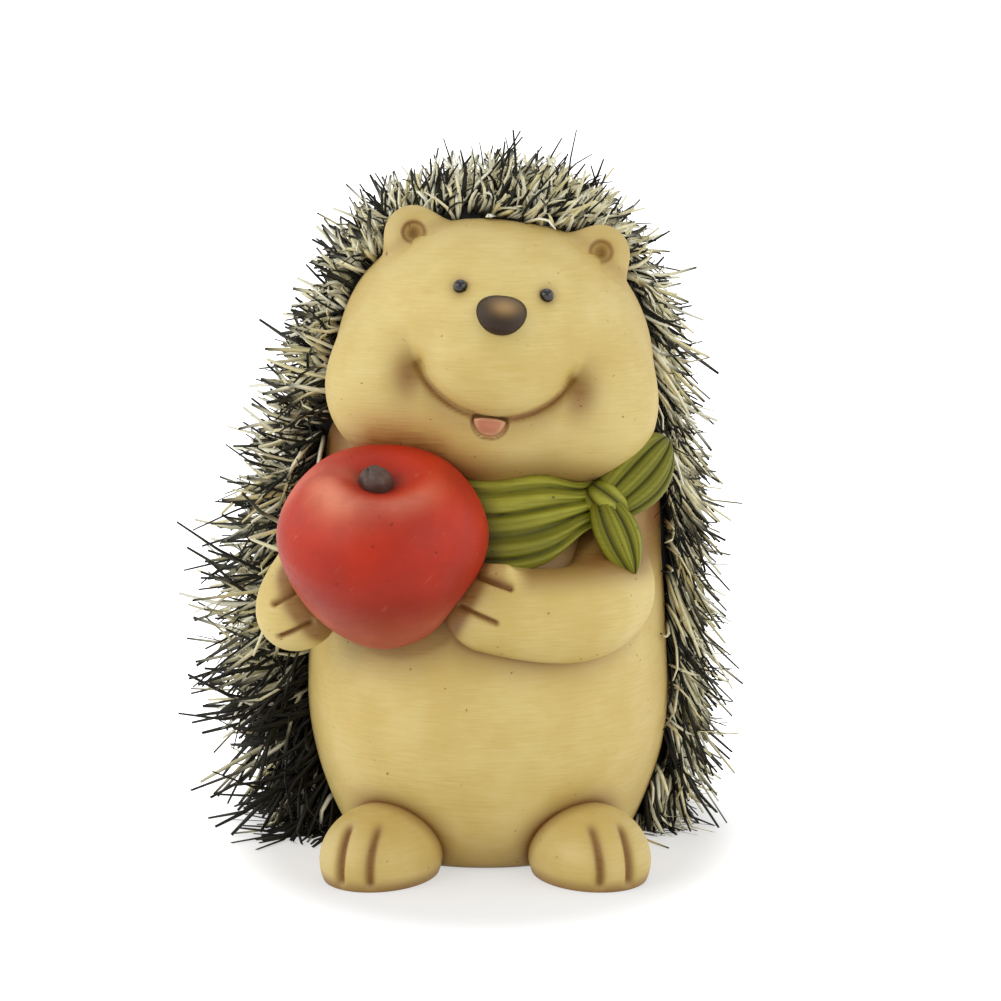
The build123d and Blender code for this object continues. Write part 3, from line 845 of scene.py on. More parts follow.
# %% Ears
ear_radius = 8.0
ear_half_thickness = 4.6
ear_place = np.array([25.5, -6.5, 32.4])
ear_nod = -14.0
ear_round = 6.0
ear_patch = 15.0
skirt_sink = 0.5
pit_radius = 2.9
pit_depth = 4.0


def ear_frame(points, sign):
    """Points of the head's frame in an ear's own frame: its face looks along -Y."""
    return nodded(points - sided(ear_place, sign), -ear_nod)


def eared_distance(points, sign):
    """How far points of the head's frame are outside the head with one ear smoothed on, pit and all."""
    own = ear_frame(points, sign)
    x, y, z = np.moveaxis(own, -1, 0)
    share = np.sqrt((x ** 2 + z ** 2) / ear_radius ** 2 + (y / ear_half_thickness) ** 2)
    ear = length(own) * (1 - 1 / np.maximum(share, 1e-6))
    joined = blend_min(ear, head_distance(points), ear_round)
    return joined + pit_depth * near(np.hypot(x, z), pit_radius) * step(0.5, -1.0, y)


for sign, node in ((-1, "ear_right"), (1, "ear_left")):
    ball = ball_points(130, 180, 0.02)
    inside = sided(ear_place, sign) + np.array([0, 2.0, 0])
    reach = ray_hits(lambda points: eared_distance(points, sign), inside, ball, ear_patch)
    reach = reach - skirt_sink * step(9.0, 12.5, reach)
    local = inside + reach[..., None] * ball
    own = ear_frame(local, sign)
    points = from_head(local)
    pit_range = np.hypot(own[..., 0], own[..., 2])
    ear_front = step(1.0, -1.0, own[..., 1])
    pit = near(pit_range, 2.7) * ear_front
    ring = near(np.abs(pit_range - pit_radius), 0.8) * ear_front
    fillet = near(np.abs(head_distance(local) - 1.5), 2.0)
    # wash and painted shade in the thumb pit, round its rim and where the ear joins the head
    ear_wash_and_shade = np.max([0.85 * pit, 0.9 * ring, 0.4 * fillet, head_wash_and_shade_at(local, points)], axis=0)
    ear_values = clay_values(ear_wash_and_shade, 0.8 * step(-2.0, 3.0, points[..., 1]))
    finished(grid_object(f"{node}_skin", points, ear_values), clay, "clay_cream", node)

# %% Eyes
eye_radius = 1.9
eye_sunk = 0.6
for sign, node in ((-1, "eye_right"), (1, "eye_left")):
    middle = face_point([sign * eye_x], [eye_z], -eye_sunk)
    points = from_head(eye_radius * ball_points(24, 36, 0.03) + middle)
    finished(grid_object(f"{node}_skin", points, {}), bead, "eye_black", node)

# %% Nose
nose_z = 17.0
nose_half_width = 6.8
nose_half_height = 5.2
nose_stand_out = 4.6
nose_edge_sunk = 1.2
share = np.linspace(0.01, 1.0, 26)[:, None]
turn = circle(80)
nose_width = nose_half_width * (1 + 0.16 * np.sin(turn))
nose_x = share * nose_width * np.sign(np.cos(turn)) * np.abs(np.cos(turn)) ** 0.85
nose_up = share * nose_half_height * np.sin(turn)
lift = nose_stand_out * (1 - share ** 2.6) ** 0.6 - nose_edge_sunk * share ** 6
nose_skin = from_head(face_point(nose_x, nose_z + nose_up, lift))
# the tan patch: rubbed paint and a painted highlight on the nose's top
nose_rub_and_highlight = near(np.hypot((nose_x - 0.8) / 4.2, (nose_up - 2.6) / 2.2), 0.9)
nose_values = {"rub_and_highlight": nose_rub_and_highlight, "wash_and_shade": step(0.85, 1.0, share)}
finished(grid_object("nose_skin", nose_skin, nose_values), nose_paint, "nose_brown", "nose")

# %% Tongue
tongue_half_width = 4.5
tongue_rise = 1.0
tongue_drop = 4.4
tongue_crown = 1.3
tongue_sunk = 1.6
tongue_x = share * tongue_half_width * np.cos(turn)
tongue_up = share * np.where(np.sin(turn) > 0, tongue_rise, tongue_drop) * np.sin(turn)
lift = tongue_crown * (1 - share ** 3) ** 0.6 - tongue_sunk
tongue_skin = from_head(face_point(tongue_x, tongue_z + tongue_up, lift))
tongue_values = {"rim": near(np.abs(share - 0.8), 0.12), "wash_and_shade": step(0.9, 1.0, share)}
finished(grid_object("tongue_skin", tongue_skin, tongue_values), tongue_paint, "tongue_pink", "tongue")

# %% [markdown]
# ## Apple and stem
#
# The apple's paint is worn and scratched, more orange on top and duller low down. Over it lie a painted
# highlight round the shoulder, a painted reflection down its left edge and painted bounce light low down that
# is partly wear, and wash with painted shade where the paws and the stem touch it. A brush could do that in
# texture paint, but values worked out from the apple's own upright axis stay sharp at any size. The stem is a
# short limb with six shallow flutes.

# %% Apple piece
skin, own = apple_points(rows=150, columns=260)
stem_side = own[..., 2] > 0
stem_range = np.hypot(own[..., 0], own[..., 1])
around = np.arctan2(own[..., 0], -own[..., 1])
paws = np.minimum(path_distance(skin, left_arm_path, 11.0), path_distance(skin, right_arm_path, 9.5))
apple_values = {
    "top": step(-6.0, 20.0, own[..., 2]),
    # painted highlight bands round the shoulder, painted reflection on the left edge, painted bounce light
    # and wear below
    "painted_light_and_wear": np.max([
        near(np.abs(stem_range - 15.5), 5.0) * near(np.abs(around + 0.9), 0.9) * stem_side,
        0.6 * near(np.abs(stem_range - 15.0), 4.0) * near(np.abs(around - 0.4), 0.9) * stem_side,
        0.4 * near(np.abs(around + 1.75), 0.35) * step(-24.0, -12.0, own[..., 2]),
        0.42 * step(3.0, -13.0, own[..., 2]),
    ], axis=0),
    # wash and painted shade where the paws touch and in the stem's dimple
    "wash_and_shade": np.maximum(0.8 * near(paws, 2.5), 0.8 * near(stem_range, 6.0) * stem_side),
}
finished(grid_object("apple_skin", skin, apple_values), apple_paint, "apple_red", "apple")

# %% Stem
stem_path = ((0, 0, 12.0), (0, 0, 17.0), (-0.4, 0.3, 20.0), (-1.6, 0.6, 22.5))
stem_root_radius = 3.0
stem_end_radius = 4.3
flute_depth = 0.25
points, out = limb_points(stem_path, stem_root_radius, stem_end_radius, rows=40, columns=36)
points = points + flute_depth * np.sin(6 * circle(36))[..., None] * out
# wash and painted shade round the stem where it leaves the apple
stem_wash_and_shade = 0.6 * near(points[..., 2] - 17.5, 2.0)
stem_skin = nodded(points, apple_nod) + apple_centre
stem_object = grid_object("apple_stem_skin", stem_skin, {"wash_and_shade": stem_wash_and_shade})
finished(stem_object, stem_paint, "stem_brown", "apple_stem")

# %% [markdown]
# ## Arms and feet
#
# Arms and feet were rolled, set on the body and scored with a tool for fingers and toes. Cutting the
# grooves with a boolean would leave hard edges; sinking the skin by its distance from each groove's line
# gives the soft ones of pressed clay. The grooves of a paw are lines in the front view, given with their
# depths, and so is its thumb's lobe.

# %% Arms
# a groove and a thumb are a start, an end and a depth or height
front_view = np.array([1.0, 0.0, 1.0])
groove_reach = 0.75
thumb_reach = 3.2
left_grooves = (((-2.5, 0, 83.6), (6.6, 0, 81.0), 1.8), ((-6.5, 0, 76.2), (2.8, 0, 72.2), 1.6))
left_thumb = ((-2.0, 0, 87.5), (5.5, 0, 85.0), 3.4)
right_grooves = (((-56.0, 0, 75.2), (-50.0, 0, 78.6), 1.7), ((-54.5, 0, 66.0), (-46.0, 0, 70.2), 1.7))
right_thumb = ((-54.0, 0, 81.0), (-51.0, 0, 82.5), 1.0)
# node, path, radius at the paw, radius at the shoulder, grooves and thumb
arms = (
    ("arm_left", left_arm_path, 12.0, 13.2, left_grooves, left_thumb),
    ("arm_right", right_arm_path, 11.0, 10.5, right_grooves, right_thumb),
)
for node, path, paw_radius, shoulder_radius, grooves, thumb in arms:
    points, out = limb_points(path, paw_radius, shoulder_radius, rows=190, columns=180)
    level = points * front_view
    facing = step(-0.1, -0.5, out[..., 1])
    grooved = []
    for start, end, depth in grooves:
        grooved.append(depth * near(segment_distance(level, start, end), groove_reach))
    press = np.max(grooved, axis=0) * facing
    thumb_start, thumb_end, thumb_height = thumb
    lobe = thumb_height * near(segment_distance(level, thumb_start, thumb_end), thumb_reach) * facing
    swell = 0.4 * waves(points, 20.0, 9) + lobe - press
    points = points + swell[..., None] * out
    # painted shade on the arm's top under the scarf; wash and painted shade in the grooves and at the apple
    # and body
    below_scarf = step(77.0, 86.0, points[..., 2]) * step(7.0, 13.0, points[..., 0])
    arm_wash_and_shade = np.max([
        0.7 * press,
        0.85 * near(apple_distance(points), 2.0),
        wash_and_shade_at(body_distance(points), 4.0),
        0.9 * below_scarf,
    ], axis=0)
    finished(grid_object(f"{node}_skin", points, clay_values(arm_wash_and_shade)), clay, "clay_cream", node)

# %% Feet
toe_grooves = (-3.5, 5.0)
toe_reach = 1.3
for sign, node in ((-1, "foot_right"), (1, "foot_left")):
    slope = slopes(90, 0.02)
    turn = turns(180, 0.3)
    ring = np.cos(slope) ** 0.95
    across = foot_radius * ring * np.sin(turn)
    along = -foot_half_length * ring * np.cos(turn)
    height = foot_middle[2] + foot_rise * np.sin(slope)
    toes = np.max([near(np.abs(across - sign * offset), toe_reach) for offset in toe_grooves], axis=0)
    toes = toes * step(-9.0, -15.0, along) * step(0.0, 3.0, height)
    shrink = 1 - 0.1 * toes
    height = np.maximum(height * (1 - 0.05 * toes), 0.0)
    angle = math.radians(foot_turn) * sign
    x = shrink * (across * math.cos(angle) - along * math.sin(angle)) + sign * foot_middle[0]
    y = shrink * (across * math.sin(angle) + along * math.cos(angle)) + foot_middle[1]
    points = places(x, y, height)
    # wash and painted shade at the body seam, in the toe grooves and low by the floor, and a little all over
    seam_wash_and_shade = wash_and_shade_at(body_distance(points), 6.0)
    foot_wash_and_shade = np.max([0.12 + 0.88 * toes, seam_wash_and_shade, 0.8 * near(height, 3.0)], axis=0)
    finished(grid_object(f"{node}_skin", points, clay_values(foot_wash_and_shade)), clay, "clay_cream", node)

# %% [markdown]
# ## The scarf
#
# The scarf is moulded on the body: a band that follows the neck with folds that run into the knot, the knot
# itself, and two leaf-shaped tails. The band is a thin tube on the body's skin. A tail is a leaf: its width
# swells and closes along its run, and pleats run along it from the knot. A cloth simulation could drape a
# scarf, but these folds are modelled clay, stiff and regular, so a formula for ridges and narrow valleys is
# closer to them.


# %% Cloth folds
def fold(place, count):
    """Rounded cloth folds across a width from 0 to 1: ridges with narrow valleys between."""
    return np.abs(np.sin(math.pi * count * place)) ** 0.6


def there_and_back(columns):
    """One row of shares, 0 to 1 over a front and 1 to 0 along its back, and which of them are in front."""
    loop = np.linspace(0, 1, columns, endpoint=False)[None, :]
    front = loop < 0.5
    return np.where(front, 2 * loop, 2 - 2 * loop), front


# %% Scarf band
band_start_turn = math.radians(-14)
band_sweep = math.radians(92)
band_end = 0.68
band_fade = 0.05
band_thickness = 4.8
band_sunk = 1.0
knot_run = 0.54
run = np.linspace(0, band_end, 110)[:, None]
across, outer = there_and_back(120)
band_turn = band_start_turn + band_sweep * run
pinch = near(np.abs(run - knot_run), 0.13)
band_width = 25.0 - 12.0 * pinch
band_middle = 94.2 + 5.5 * step(0.1, 0.7, run)
band_height = band_middle + band_width * (across - 0.5)
folds = 0.75 * fold(across + 0.06 * np.sin(5 * run), 4.5) + 0.25 * fold(across + 0.1 * run, 11.0)
thickness = band_thickness * (1 - np.abs(2 * across - 1) ** 6) ** 0.5
thickness = thickness * step(0.0, band_fade, run) * step(band_end, band_end - band_fade, run)
lift = np.where(outer, thickness * (0.72 + 0.4 * folds) + 1.5 * pinch * (thickness > 0.5), -band_sunk)
points = on_body(band_height, band_turn, lift)
# wash and painted shade in the fold valleys and by the apple; painted light along the ridges, in streaks
band_wash_and_shade = np.maximum(0.8 * near(apple_distance(points), 4.0), 0.9 * step(0.3, 0.05, folds))
streaks = waves(places(30 * run, 90 * across, 0.0), 22.0, 11)
band_values = {"drybrush_and_fold_shading": np.where(outer, folds * (1.0 + 0.35 * streaks), 0.0), "wash_and_shade": band_wash_and_shade}
finished(grid_object("scarf_band_skin", points, band_values), scarf_paint, "scarf_green", "scarf_band")

# %% Scarf knot
knot_centre = np.array([32.5, -34.0, 99.8])
knot_radius = 5.0
knot_half_length = 6.4
knot_roll = -38.0
slope = slopes(70, 0.03)
turn = circle(120)
pleat = fold(turn / (2 * math.pi) + 0.05 * slope, 6)
girth = knot_radius * np.cos(slope) ** 0.7 * (0.86 + 0.18 * pleat)
points = places(girth * np.cos(turn), girth * np.sin(turn), knot_half_length * np.sin(slope))
points = rolled(points, knot_roll) + knot_centre
# painted light on the knot's pleats, painted shade in their valleys and towards its ends
knot_values = {"drybrush_and_fold_shading": pleat * np.cos(slope), "wash_and_shade": 0.9 * step(0.35, 0.05, pleat)}
finished(grid_object("scarf_knot_skin", points, knot_values), scarf_paint, "scarf_green", "scarf_knot")

# %% Scarf tails
tail_facing = np.array([0.45, -1.0, 0.1])


def tail_points(start, tip, half_width, blunt, roundness, pleats, curl):
    """Leaf from start to tip, and its values: swelling width, pleats along it, a curl forward at its middle.

    Rows run along the leaf, and columns go over its front and return along its back."""
    start = np.asarray(start, float)
    heading = np.asarray(tip, float) - start
    size = length(heading)
    heading = heading / size
    facing = unit(tail_facing - heading * (tail_facing @ heading))
    side = np.cross(heading, facing)
    run = np.linspace(0.0, 1.0, 90)[:, None]
    share, front = there_and_back(120)
    across = 2 * share - 1
    width = half_width * np.sin(math.pi * (0.12 + 0.88 * run) ** blunt) ** roundness + 0.02
    ridges = 0.75 * fold(across / 2 + 0.5, pleats) + 0.25 * fold(across / 2 + 0.4, 3 * pleats)
    edge = (1 - np.abs(across) ** 4) ** 0.5
    close = (1 - np.abs(2 * run - 1) ** 6) ** 0.5
    height = np.where(front, edge * close * (1.3 + 1.7 * ridges), -1.6 * edge * close)
    height = height + curl * np.sin(math.pi * run) - 1.2 * across ** 2
    points = start + (run * size)[..., None] * heading
    points = points + (width * across)[..., None] * side + height[..., None] * facing
    # painted light on the leaf's pleats, painted shade in their valleys and over its back
    tail_drybrush_and_fold_shading = np.where(front, 0.75 * ridges * close, 0.3)
    return points, {"drybrush_and_fold_shading": tail_drybrush_and_fold_shading, "wash_and_shade": 0.9 * step(0.3, 0.05, ridges * close)}


upper_tail = tail_points(
    (31.5, -34.0, 97.5), (49.5, -23.0, 115.5), half_width=9.0, blunt=1.15, roundness=0.5, pleats=3.5, curl=3.5
)
finished(grid_object("upper_tail_skin", *upper_tail), scarf_paint, "scarf_green", "scarf_tail_upper")
lower_tail = tail_points(
    (31.0, -35.0, 101.0), (39.5, -43.0, 80.5), half_width=6.6, blunt=1.1, roundness=0.7, pleats=2.5, curl=2.5
)
finished(grid_object("lower_tail_skin", *lower_tail), scarf_paint, "scarf_green", "scarf_tail_lower")

# %% [markdown]
# ## The quill coat
#
# The real coat is plant fibre, straw and black, glued to a dark backing in bands. Blender's hair could show
# it, but hair isn't a mesh that can be kept, so each strand here is a three-sided tapering tube of fourteen
# faces on a bent line of four lengths. Roots are spread evenly over the backing by area. The fibres were
# combed while the glue was wet, so one field of directions does them all: outwards on the figure's right
# side, up over the crown, down like a feather on its left, and leaning down at the back.

# %% Coat shape
felt_rise = 2.5
coat_egg = dict(back_egg)
for size_name in ("base", "widest", "top"):
    coat_egg[size_name] = back_egg[size_name] + felt_rise
beside_head_advance = 13.0
crown_retreat = 5.0


def coat_turn_limit(z):
    """How far round from the back the coat reaches at height z; beside the head it comes farther forward."""
    radius = np.maximum(egg_radius(z, **coat_egg), 1e-3)
    front = coat_front_y - beside_head_advance * step(112.0, 130.0, z) + crown_retreat * step(156.0, 170.0, z)
    return np.arccos(np.clip((front - back_axis[1]) / radius, -1, 1))


def on_coat(z, around, sink=0.0):
    """Points of the backing, 0 at the back and growing towards +X."""
    radius = egg_radius(z, **coat_egg) - sink
    x = back_axis[0] + radius * np.sin(around)
    y = back_axis[1] + radius * np.cos(around)
    return places(x, y, z)


# %% Roots of the fibres
strand_count = 14000
stray_count = 70
root_sunk = 0.8
draw = np.random.default_rng(12)
levels = coat_egg["top"] - (coat_egg["top"] - 0.4) * np.linspace(1.0, 0.0005, 900) ** 2
level_points = np.stack([egg_radius(levels, **coat_egg), levels], -1)
level_steps = length(np.gradient(level_points, axis=0))
level_area = np.cumsum(level_points[:, 0] * coat_turn_limit(levels) * level_steps)
root_z = np.interp(draw.uniform(0, level_area[-1], strand_count), level_area, levels)
root_share = draw.uniform(-1, 1, strand_count)
root_share[:stray_count] = np.sign(root_share[:stray_count])
root_turn = root_share * coat_turn_limit(root_z)
roots = on_coat(root_z, root_turn, root_sunk)
print("roots:", strand_count, "on", round(2 * level_area[-1] / 100), "square cm of backing")

# %% [markdown]
# The backing's normal and the tangent that rises along it carry the field. Directions drawn at random alone
# would look like a brush. Neighbouring fibres lean alike, so slow waves over the coat push whole locks to
# one side, and each fibre adds a scatter of its own.


# %% Directions of the fibres
def bounded_draw(limit):
    """One random vector per fibre, normally spread and clipped, so that no fibre strays far."""
    return np.clip(draw.normal(size=(strand_count, 3)), -limit, limit)


slant = (egg_radius(root_z + 0.2, **coat_egg) - egg_radius(root_z - 0.2, **coat_egg)) / 0.4
radial = places(np.sin(root_turn), np.cos(root_turn), 0.0)
upward = np.array([0.0, 0.0, 1.0])
rising = unit(radial * slant[:, None] + upward)
normal = unit(radial - upward * slant[:, None])
crown = step(0.35, 0.85, normal[:, 2])
left_side = step(0.15, 0.85, radial[:, 0]) * (1 - crown)
right_side = step(0.15, 0.85, -radial[:, 0]) * (1 - crown)
back = 1 - left_side - right_side - crown
# how steeply fibres fall on each side: heights, and the share of the falling tangent at each
right_fall = ((15, 60, 110, 150), (1.1, 0.5, 0.05, -0.2))
left_fall = ((30, 90, 130, 148, 162), (2.3, 2.6, 2.2, 1.4, 0.2))
back_fall = 0.9
fall = right_side * np.interp(root_z, *right_fall)
fall = fall + left_side * np.interp(root_z, *left_fall) + back_fall * back
comb = np.array([0.45, 0.35, 0.3])
lock_size = 13.0
locks = np.stack([waves(roots, lock_size, seed) for seed in (21, 22, 23)], -1)
lock_share = 0.5 - 0.25 * left_side
scatter = bounded_draw(1.6) * (0.28 - 0.06 * left_side + 0.06 * crown)[:, None]
heading = normal - fall[:, None] * rising + crown[:, None] * comb + lock_share[:, None] * locks + scatter
heading = unit(heading)
print("steepest fall:", round(fall.max(), 2))

# %% Lengths and kinds of the fibres
heights = (20, 75, 110, 150, 175)
right_lengths = (30, 27, 15.5, 11, 10)
left_lengths = (22, 20, 18, 13, 10)
back_lengths = (22, 19, 17, 13, 10)
crown_length = 11.0
reach = right_side * np.interp(root_z, heights, right_lengths)
reach = reach + left_side * np.interp(root_z, heights, left_lengths)
reach = reach + back * np.interp(root_z, heights, back_lengths) + crown * crown_length
# more fibres are black low on the figure's right and along the coat's two edges
black_share = 0.36 * right_side + 0.28 * left_side + 0.22 * crown + 0.42 * back
black_share = black_share + 0.35 * step(60.0, 30.0, root_z) * right_side
black_share = black_share + 0.3 * step(0.92, 0.97, np.abs(root_share))
black = draw.uniform(0, 1, strand_count) < black_share
reach = reach * draw.uniform(0.65, 1.05, strand_count) * np.where(black, 0.9 + 0.2 * crown, 1.0 - 0.1 * crown)
stray_lean = np.array([0, -0.7, -0.4])
heading[:stray_count] = unit(0.7 * normal + 1.4 * scatter + stray_lean)[:stray_count]
reach[:stray_count] = draw.uniform(8.0, 15.0, stray_count)
black[:stray_count] = False
hook = 0.32 * bounded_draw(1.5)
bend = 0.42 * bounded_draw(1.5) * (1 - 0.5 * left_side)[:, None]
bend = bend - upward * (0.1 + 0.3 * left_side + 0.2 * back)[:, None]
print("black fibres:", black.sum(), "longest fibre in mm:", round(reach.max(), 1))

# %% Strand shapes
joint_places = np.array([0.0, 0.22, 0.5, 0.8, 1.0])
strand_radius = 0.5
joint_girths = np.array([1.0, 1.0, 1.0, 0.9, 0.6])
line_floor_gap = 0.5
tube_floor_gap = 0.1
joints = joint_places[None, :, None]
course = joints * heading[:, None] + 0.5 * joints ** 2 * bend[:, None] + joints ** 4 * hook[:, None]
line = roots[:, None] + reach[:, None, None] * course
line[..., 2] = np.maximum(line[..., 2], line_floor_gap)
across_one = unit(np.cross(heading, draw.normal(size=(strand_count, 3))))
across_two = np.cross(heading, across_one)
corner_angle = circle(3)[..., None]
corners = np.cos(corner_angle) * across_one[:, None] + np.sin(corner_angle) * across_two[:, None]
girth = strand_radius * draw.uniform(0.7, 1.3, strand_count)
girth = girth * np.where(black, 0.8 + 0.4 * step(75.0, 40.0, root_z), 1.1) * (1 + 0.2 * right_side)
girth = girth[:, None] * joint_girths
tubes = line[:, :, None] + girth[..., None, None] * corners[:, None]
tubes[..., 2] = np.maximum(tubes[..., 2], tube_floor_gap)
print("thickest fibre in mm:", round(2 * girth.max(), 2))

# %% [markdown]
# Fibres that would run into the head or hang before an ear were trimmed off on the real figure too. A few
# bare patches are left, where the dark backing shows. Testing every fibre's joints against the distance
# fields is quick, because all the fibres are tested at once.

# %% Trim
trim_half_width = 86.0
trim_height = 199.0
head_gap = 0.6
body_gap = 0.3
ear_gap = 1.5
ear_depth = 3.0
patch_size = 9.0
patch_level = -0.42
in_head = to_head(line[:, 1:])
clear_head = np.min([eared_distance(in_head, sign) for sign in (-1, 1)], axis=(0, 2)) > head_gap
before_ears = np.zeros(strand_count, bool)
for sign in (-1, 1):
    own = ear_frame(in_head, sign)
    before = (np.hypot(own[..., 0], own[..., 2]) < ear_radius + ear_gap) & (own[..., 1] < ear_depth)
    before_ears = before_ears | before.any(axis=1)
trimmed = (np.abs(line[..., 0]).max(axis=1) < trim_half_width) & (line[..., 2].max(axis=1) < trim_height)
clear_body = body_distance(line[:, 1:]).min(axis=1) > body_gap
bare_patch = waves(roots, patch_size, 31) < patch_level
bare_patch[:stray_count] = False
kept = clear_head & clear_body & trimmed & ~before_ears & ~bare_patch
print("fibres kept:", kept.sum(), "of", strand_count)

# %% [markdown]
# A straw fibre is dark at its glued root, and that dark base, reaching a little up the fibre, also paints the
# shade deep in the coat. Most have a black tip, fewer on the crown. The other fibres are black all along. The
# tone is a value per point, so one material does all the fibres, and no strand needs a UV map for a texture.

# %% Strand colours
# dark at the root, as the real fibre is, and also painted shade deep in the coat
straw_tones = np.array([0.0, 0.6, 1.0, 1.0, 0.9])
tip_share = 0.7 - 0.35 * crown
long_tip_share = 0.25 - 0.15 * crown
tone = np.tile(straw_tones, (strand_count, 1))
tip_draw = draw.uniform(0, 1, strand_count)
tone[tip_draw < tip_share, 4] = 0.0
tone[tip_draw < long_tip_share, 3] = 0.1
tone[black] = 0.02
shade = np.clip(draw.normal(0.5, 0.28, strand_count), 0, 1)
print("straw fibres with a black tip:", (tone[~black, 4] == 0).sum())

# %% Felt under the fibres
felt_middle = np.array([back_axis[0], back_axis[1], 60.0])
felt_thickness = 2.0
felt_floor_gap = 0.3
felt_edge_sunk = felt_rise * 1.6
band_overlap = 0.3


def felt_shell(outer):
    """Closed strip of felt under a grid of points: a second grid nearer to the body's middle, and a rim."""
    inwards = unit(felt_middle - outer)
    inner = outer + felt_thickness * inwards
    rows, columns = outer.shape[:2]
    index = np.arange(rows * columns).reshape(rows, columns)
    border = np.concatenate([index[0, :-1], index[:-1, -1], index[-1, :0:-1], index[:0:-1, 0]])
    following = np.roll(border, -1)
    rim = np.stack([border, following, following + rows * columns, border + rows * columns], -1)
    front = grid_faces(rows, columns, around=False)[:, ::-1]
    behind = front[:, ::-1] + rows * columns
    return np.concatenate([outer.reshape(-1, 3), inner.reshape(-1, 3)]), np.concatenate([front, behind, rim])


# %% Coat pieces
band_count = 7
felt_rows = 26
felt_columns = 160
limits = np.linspace(0.0, coat_egg["top"], band_count + 1)
strand_points = 3 * len(joint_places)
strand_index = np.arange(strand_points).reshape(-1, 3)
ring_next = np.roll(strand_index, -1, axis=1)
strand_quads = np.stack([strand_index[:-1], ring_next[:-1], ring_next[1:], strand_index[1:]], -1)
strand_quads = strand_quads.reshape(-1, 4)
strand_ends = np.stack([strand_index[-1], strand_index[0, ::-1]])
for number, (low, high) in enumerate(zip(limits[:-1], limits[1:]), 1):
    first_row = max(low - band_overlap, felt_floor_gap)
    last_row = min(high + band_overlap, coat_egg["top"] - 1e-6)
    # rows crowd together upwards, where the crown closes
    rows = last_row - (last_row - first_row) * np.linspace(1, 0, felt_rows)[:, None] ** 2
    share = np.linspace(-1, 1, felt_columns)[None, :]
    edge = felt_edge_sunk * np.abs(share) ** 40
    sheet = on_coat(rows, share * coat_turn_limit(rows), edge)
    sheet = sheet + 0.4 * waves(sheet, 5.0, 30 + number)[..., None] * (np.abs(share) < 0.97)[..., None]
    sheet[..., 2] = np.maximum(sheet[..., 2], felt_floor_gap)
    shell_points, shell_quads = felt_shell(sheet)
    chosen = kept & (root_z >= low) & (root_z < high)
    offsets = len(shell_points) + strand_points * np.arange(chosen.sum())[:, None, None]
    quads = np.concatenate([shell_quads, (strand_quads + offsets).reshape(-1, 4)])
    ends = (strand_ends + offsets).reshape(-1, 3)
    vertices = np.concatenate([shell_points, tubes[chosen].reshape(-1, 3)])
    plain = np.zeros(len(shell_points))
    values = {
        "tone": np.concatenate([plain, np.repeat(tone[chosen].ravel(), 3)]),
        "shade": np.concatenate([plain, np.repeat(shade[chosen], strand_points)]),
    }
    coat = mesh_object(f"quill_coat_{number}", vertices, quads, ends, values)
    finished(coat, fibre, "quill_straw", f"quill_band_{number}")

# %% [markdown]
# ## Stage, light and camera
#
# The figure stands on a white sweep under soft lamps, as for a catalogue. Near the figure the floor shines
# only a little by itself, so it takes the contact shadow. Farther off it shines more and runs out to white.
# A plain lit floor would need far more light to look as white, and that light would bleach the figure.


# %% Floor
def shown_rays(tree):
    """Value socket: 1 for rays that show the sweep to the camera, in a gloss or through glass; else 0."""
    rays = add_node(tree, "ShaderNodeLightPath").outputs
    mirrored = maths(tree, "MAXIMUM", rays["Is Glossy Ray"], rays["Is Transmission Ray"])
    return maths(tree, "MAXIMUM", rays["Is Camera Ray"], mirrored)


floor_half = 6.0
floor_back = 12.0
floor_corners = [(-floor_half, -floor_half, 0), (floor_half, -floor_half, 0)]
floor_corners += [(floor_half, floor_back, 0), (-floor_half, floor_back, 0)]
floor_mesh = bpy.data.meshes.new("floor")
floor_mesh.from_pydata(floor_corners, [], [(0, 1, 2, 3)])
floor = bpy.data.objects.new("floor", floor_mesh)
bpy.context.scene.collection.objects.link(floor)
matt_white = {"Roughness": 0.9, "Specular IOR Level": 0.0, "Emission Color": (1, 1, 1, 1)}
floor_paint, tree, surface = new_material("white sweep", matt_white)
floor_place = add_node(tree, "ShaderNodeTexCoord").outputs["Object"]
glow_oval = (1.5, 1, 1)
narrowed = add_node(tree, "ShaderNodeMapping", {"Vector": floor_place, "Scale": glow_oval}).outputs[0]
floor_range = add_node(tree, "ShaderNodeVectorMath", {0: narrowed}, operation="LENGTH").outputs["Value"]
seen = shown_rays(tree)
lighting_white = (0.9, 0.9, 0.88, 1)
shown_white = (0.4, 0.4, 0.395, 1)
shown_floor = mix_colour(tree, seen, lighting_white, shown_white)
tree.links.new(shown_floor, surface.inputs["Base Color"])
near_glow = 0.52
glow_start = 0.085
glow_full = 0.15
glow = maths(tree, "ADD", near_glow, ramp(tree, floor_range, glow_start, glow_full))
glow = maths(tree, "MULTIPLY", seen, glow)
tree.links.new(glow, surface.inputs["Emission Strength"])
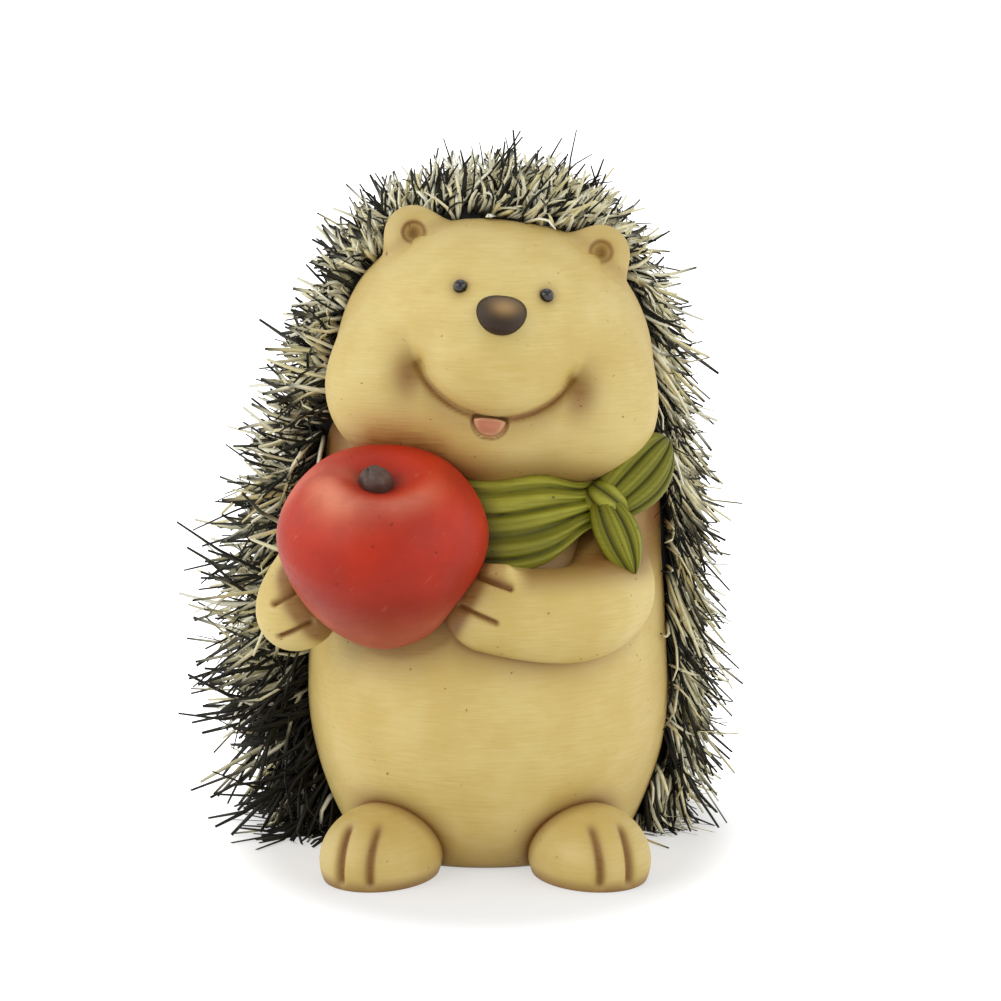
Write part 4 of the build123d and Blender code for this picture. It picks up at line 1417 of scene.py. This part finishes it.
floor_mesh.materials.append(floor_paint)

# %% World
world = bpy.data.worlds.new("studio")
bpy.context.scene.world = world
world.use_nodes = True
world_tree = world.node_tree
world_tree.nodes.clear()
lit = add_node(world_tree, "ShaderNodeBackground", {"Color": (0.95, 0.97, 1.0, 1), "Strength": 0.5})
shown = add_node(world_tree, "ShaderNodeBackground", {"Color": (1, 1, 1, 1), "Strength": 1.0})
world_seen = shown_rays(world_tree)
world_inputs = {0: world_seen, 1: lit.outputs[0], 2: shown.outputs[0]}
world_mix = add_node(world_tree, "ShaderNodeMixShader", world_inputs)
add_node(world_tree, "ShaderNodeOutputWorld", {"Surface": world_mix.outputs[0]})

# %% Lamps
lamp_size = 0.8
lamp_target = Vector((0, 0, 0.09))


def lamp(name, place, power):
    """Soft square lamp aimed at the figure's middle."""
    data = bpy.data.lights.new(name, "AREA")
    data.size = lamp_size
    data.energy = power
    obj = bpy.data.objects.new(name, data)
    obj.location = place
    obj.visible_camera = False
    obj.rotation_euler = (lamp_target - Vector(place)).to_track_quat("-Z", "Y").to_euler()
    bpy.context.scene.collection.objects.link(obj)
    print("lamp:", name, power, "W")


lamp("key", (-1.05, -0.8, 0.75), 6.4)
lamp("fill", (1.05, -0.85, 0.5), 4.8)
lamp("top", (0.1, 0.2, 1.3), 2.5)
lamp("left rim", (-1.1, 0.1, 0.5), 3.6)
lamp("right rim", (1.1, 0.1, 0.5), 2.6)

# %% Camera
camera_range = 0.95
camera_rise = math.radians(9.0)
target = Vector((4.1, -10.0, 96.3)) * MM
offset = Vector((0, -math.cos(camera_rise), math.sin(camera_rise)))
camera_data = bpy.data.cameras.new("camera")
camera_data.lens = 124.0
camera_data.sensor_width = 36.0
camera = bpy.data.objects.new("camera", camera_data)
camera.location = target + camera_range * offset
camera.rotation_euler = (-offset).to_track_quat("-Z", "Y").to_euler()
bpy.context.scene.collection.objects.link(camera)
bpy.context.scene.camera = camera
bpy.context.scene.view_settings.view_transform = "Standard"
print("camera in mm:", [round(place / MM) for place in camera.location])
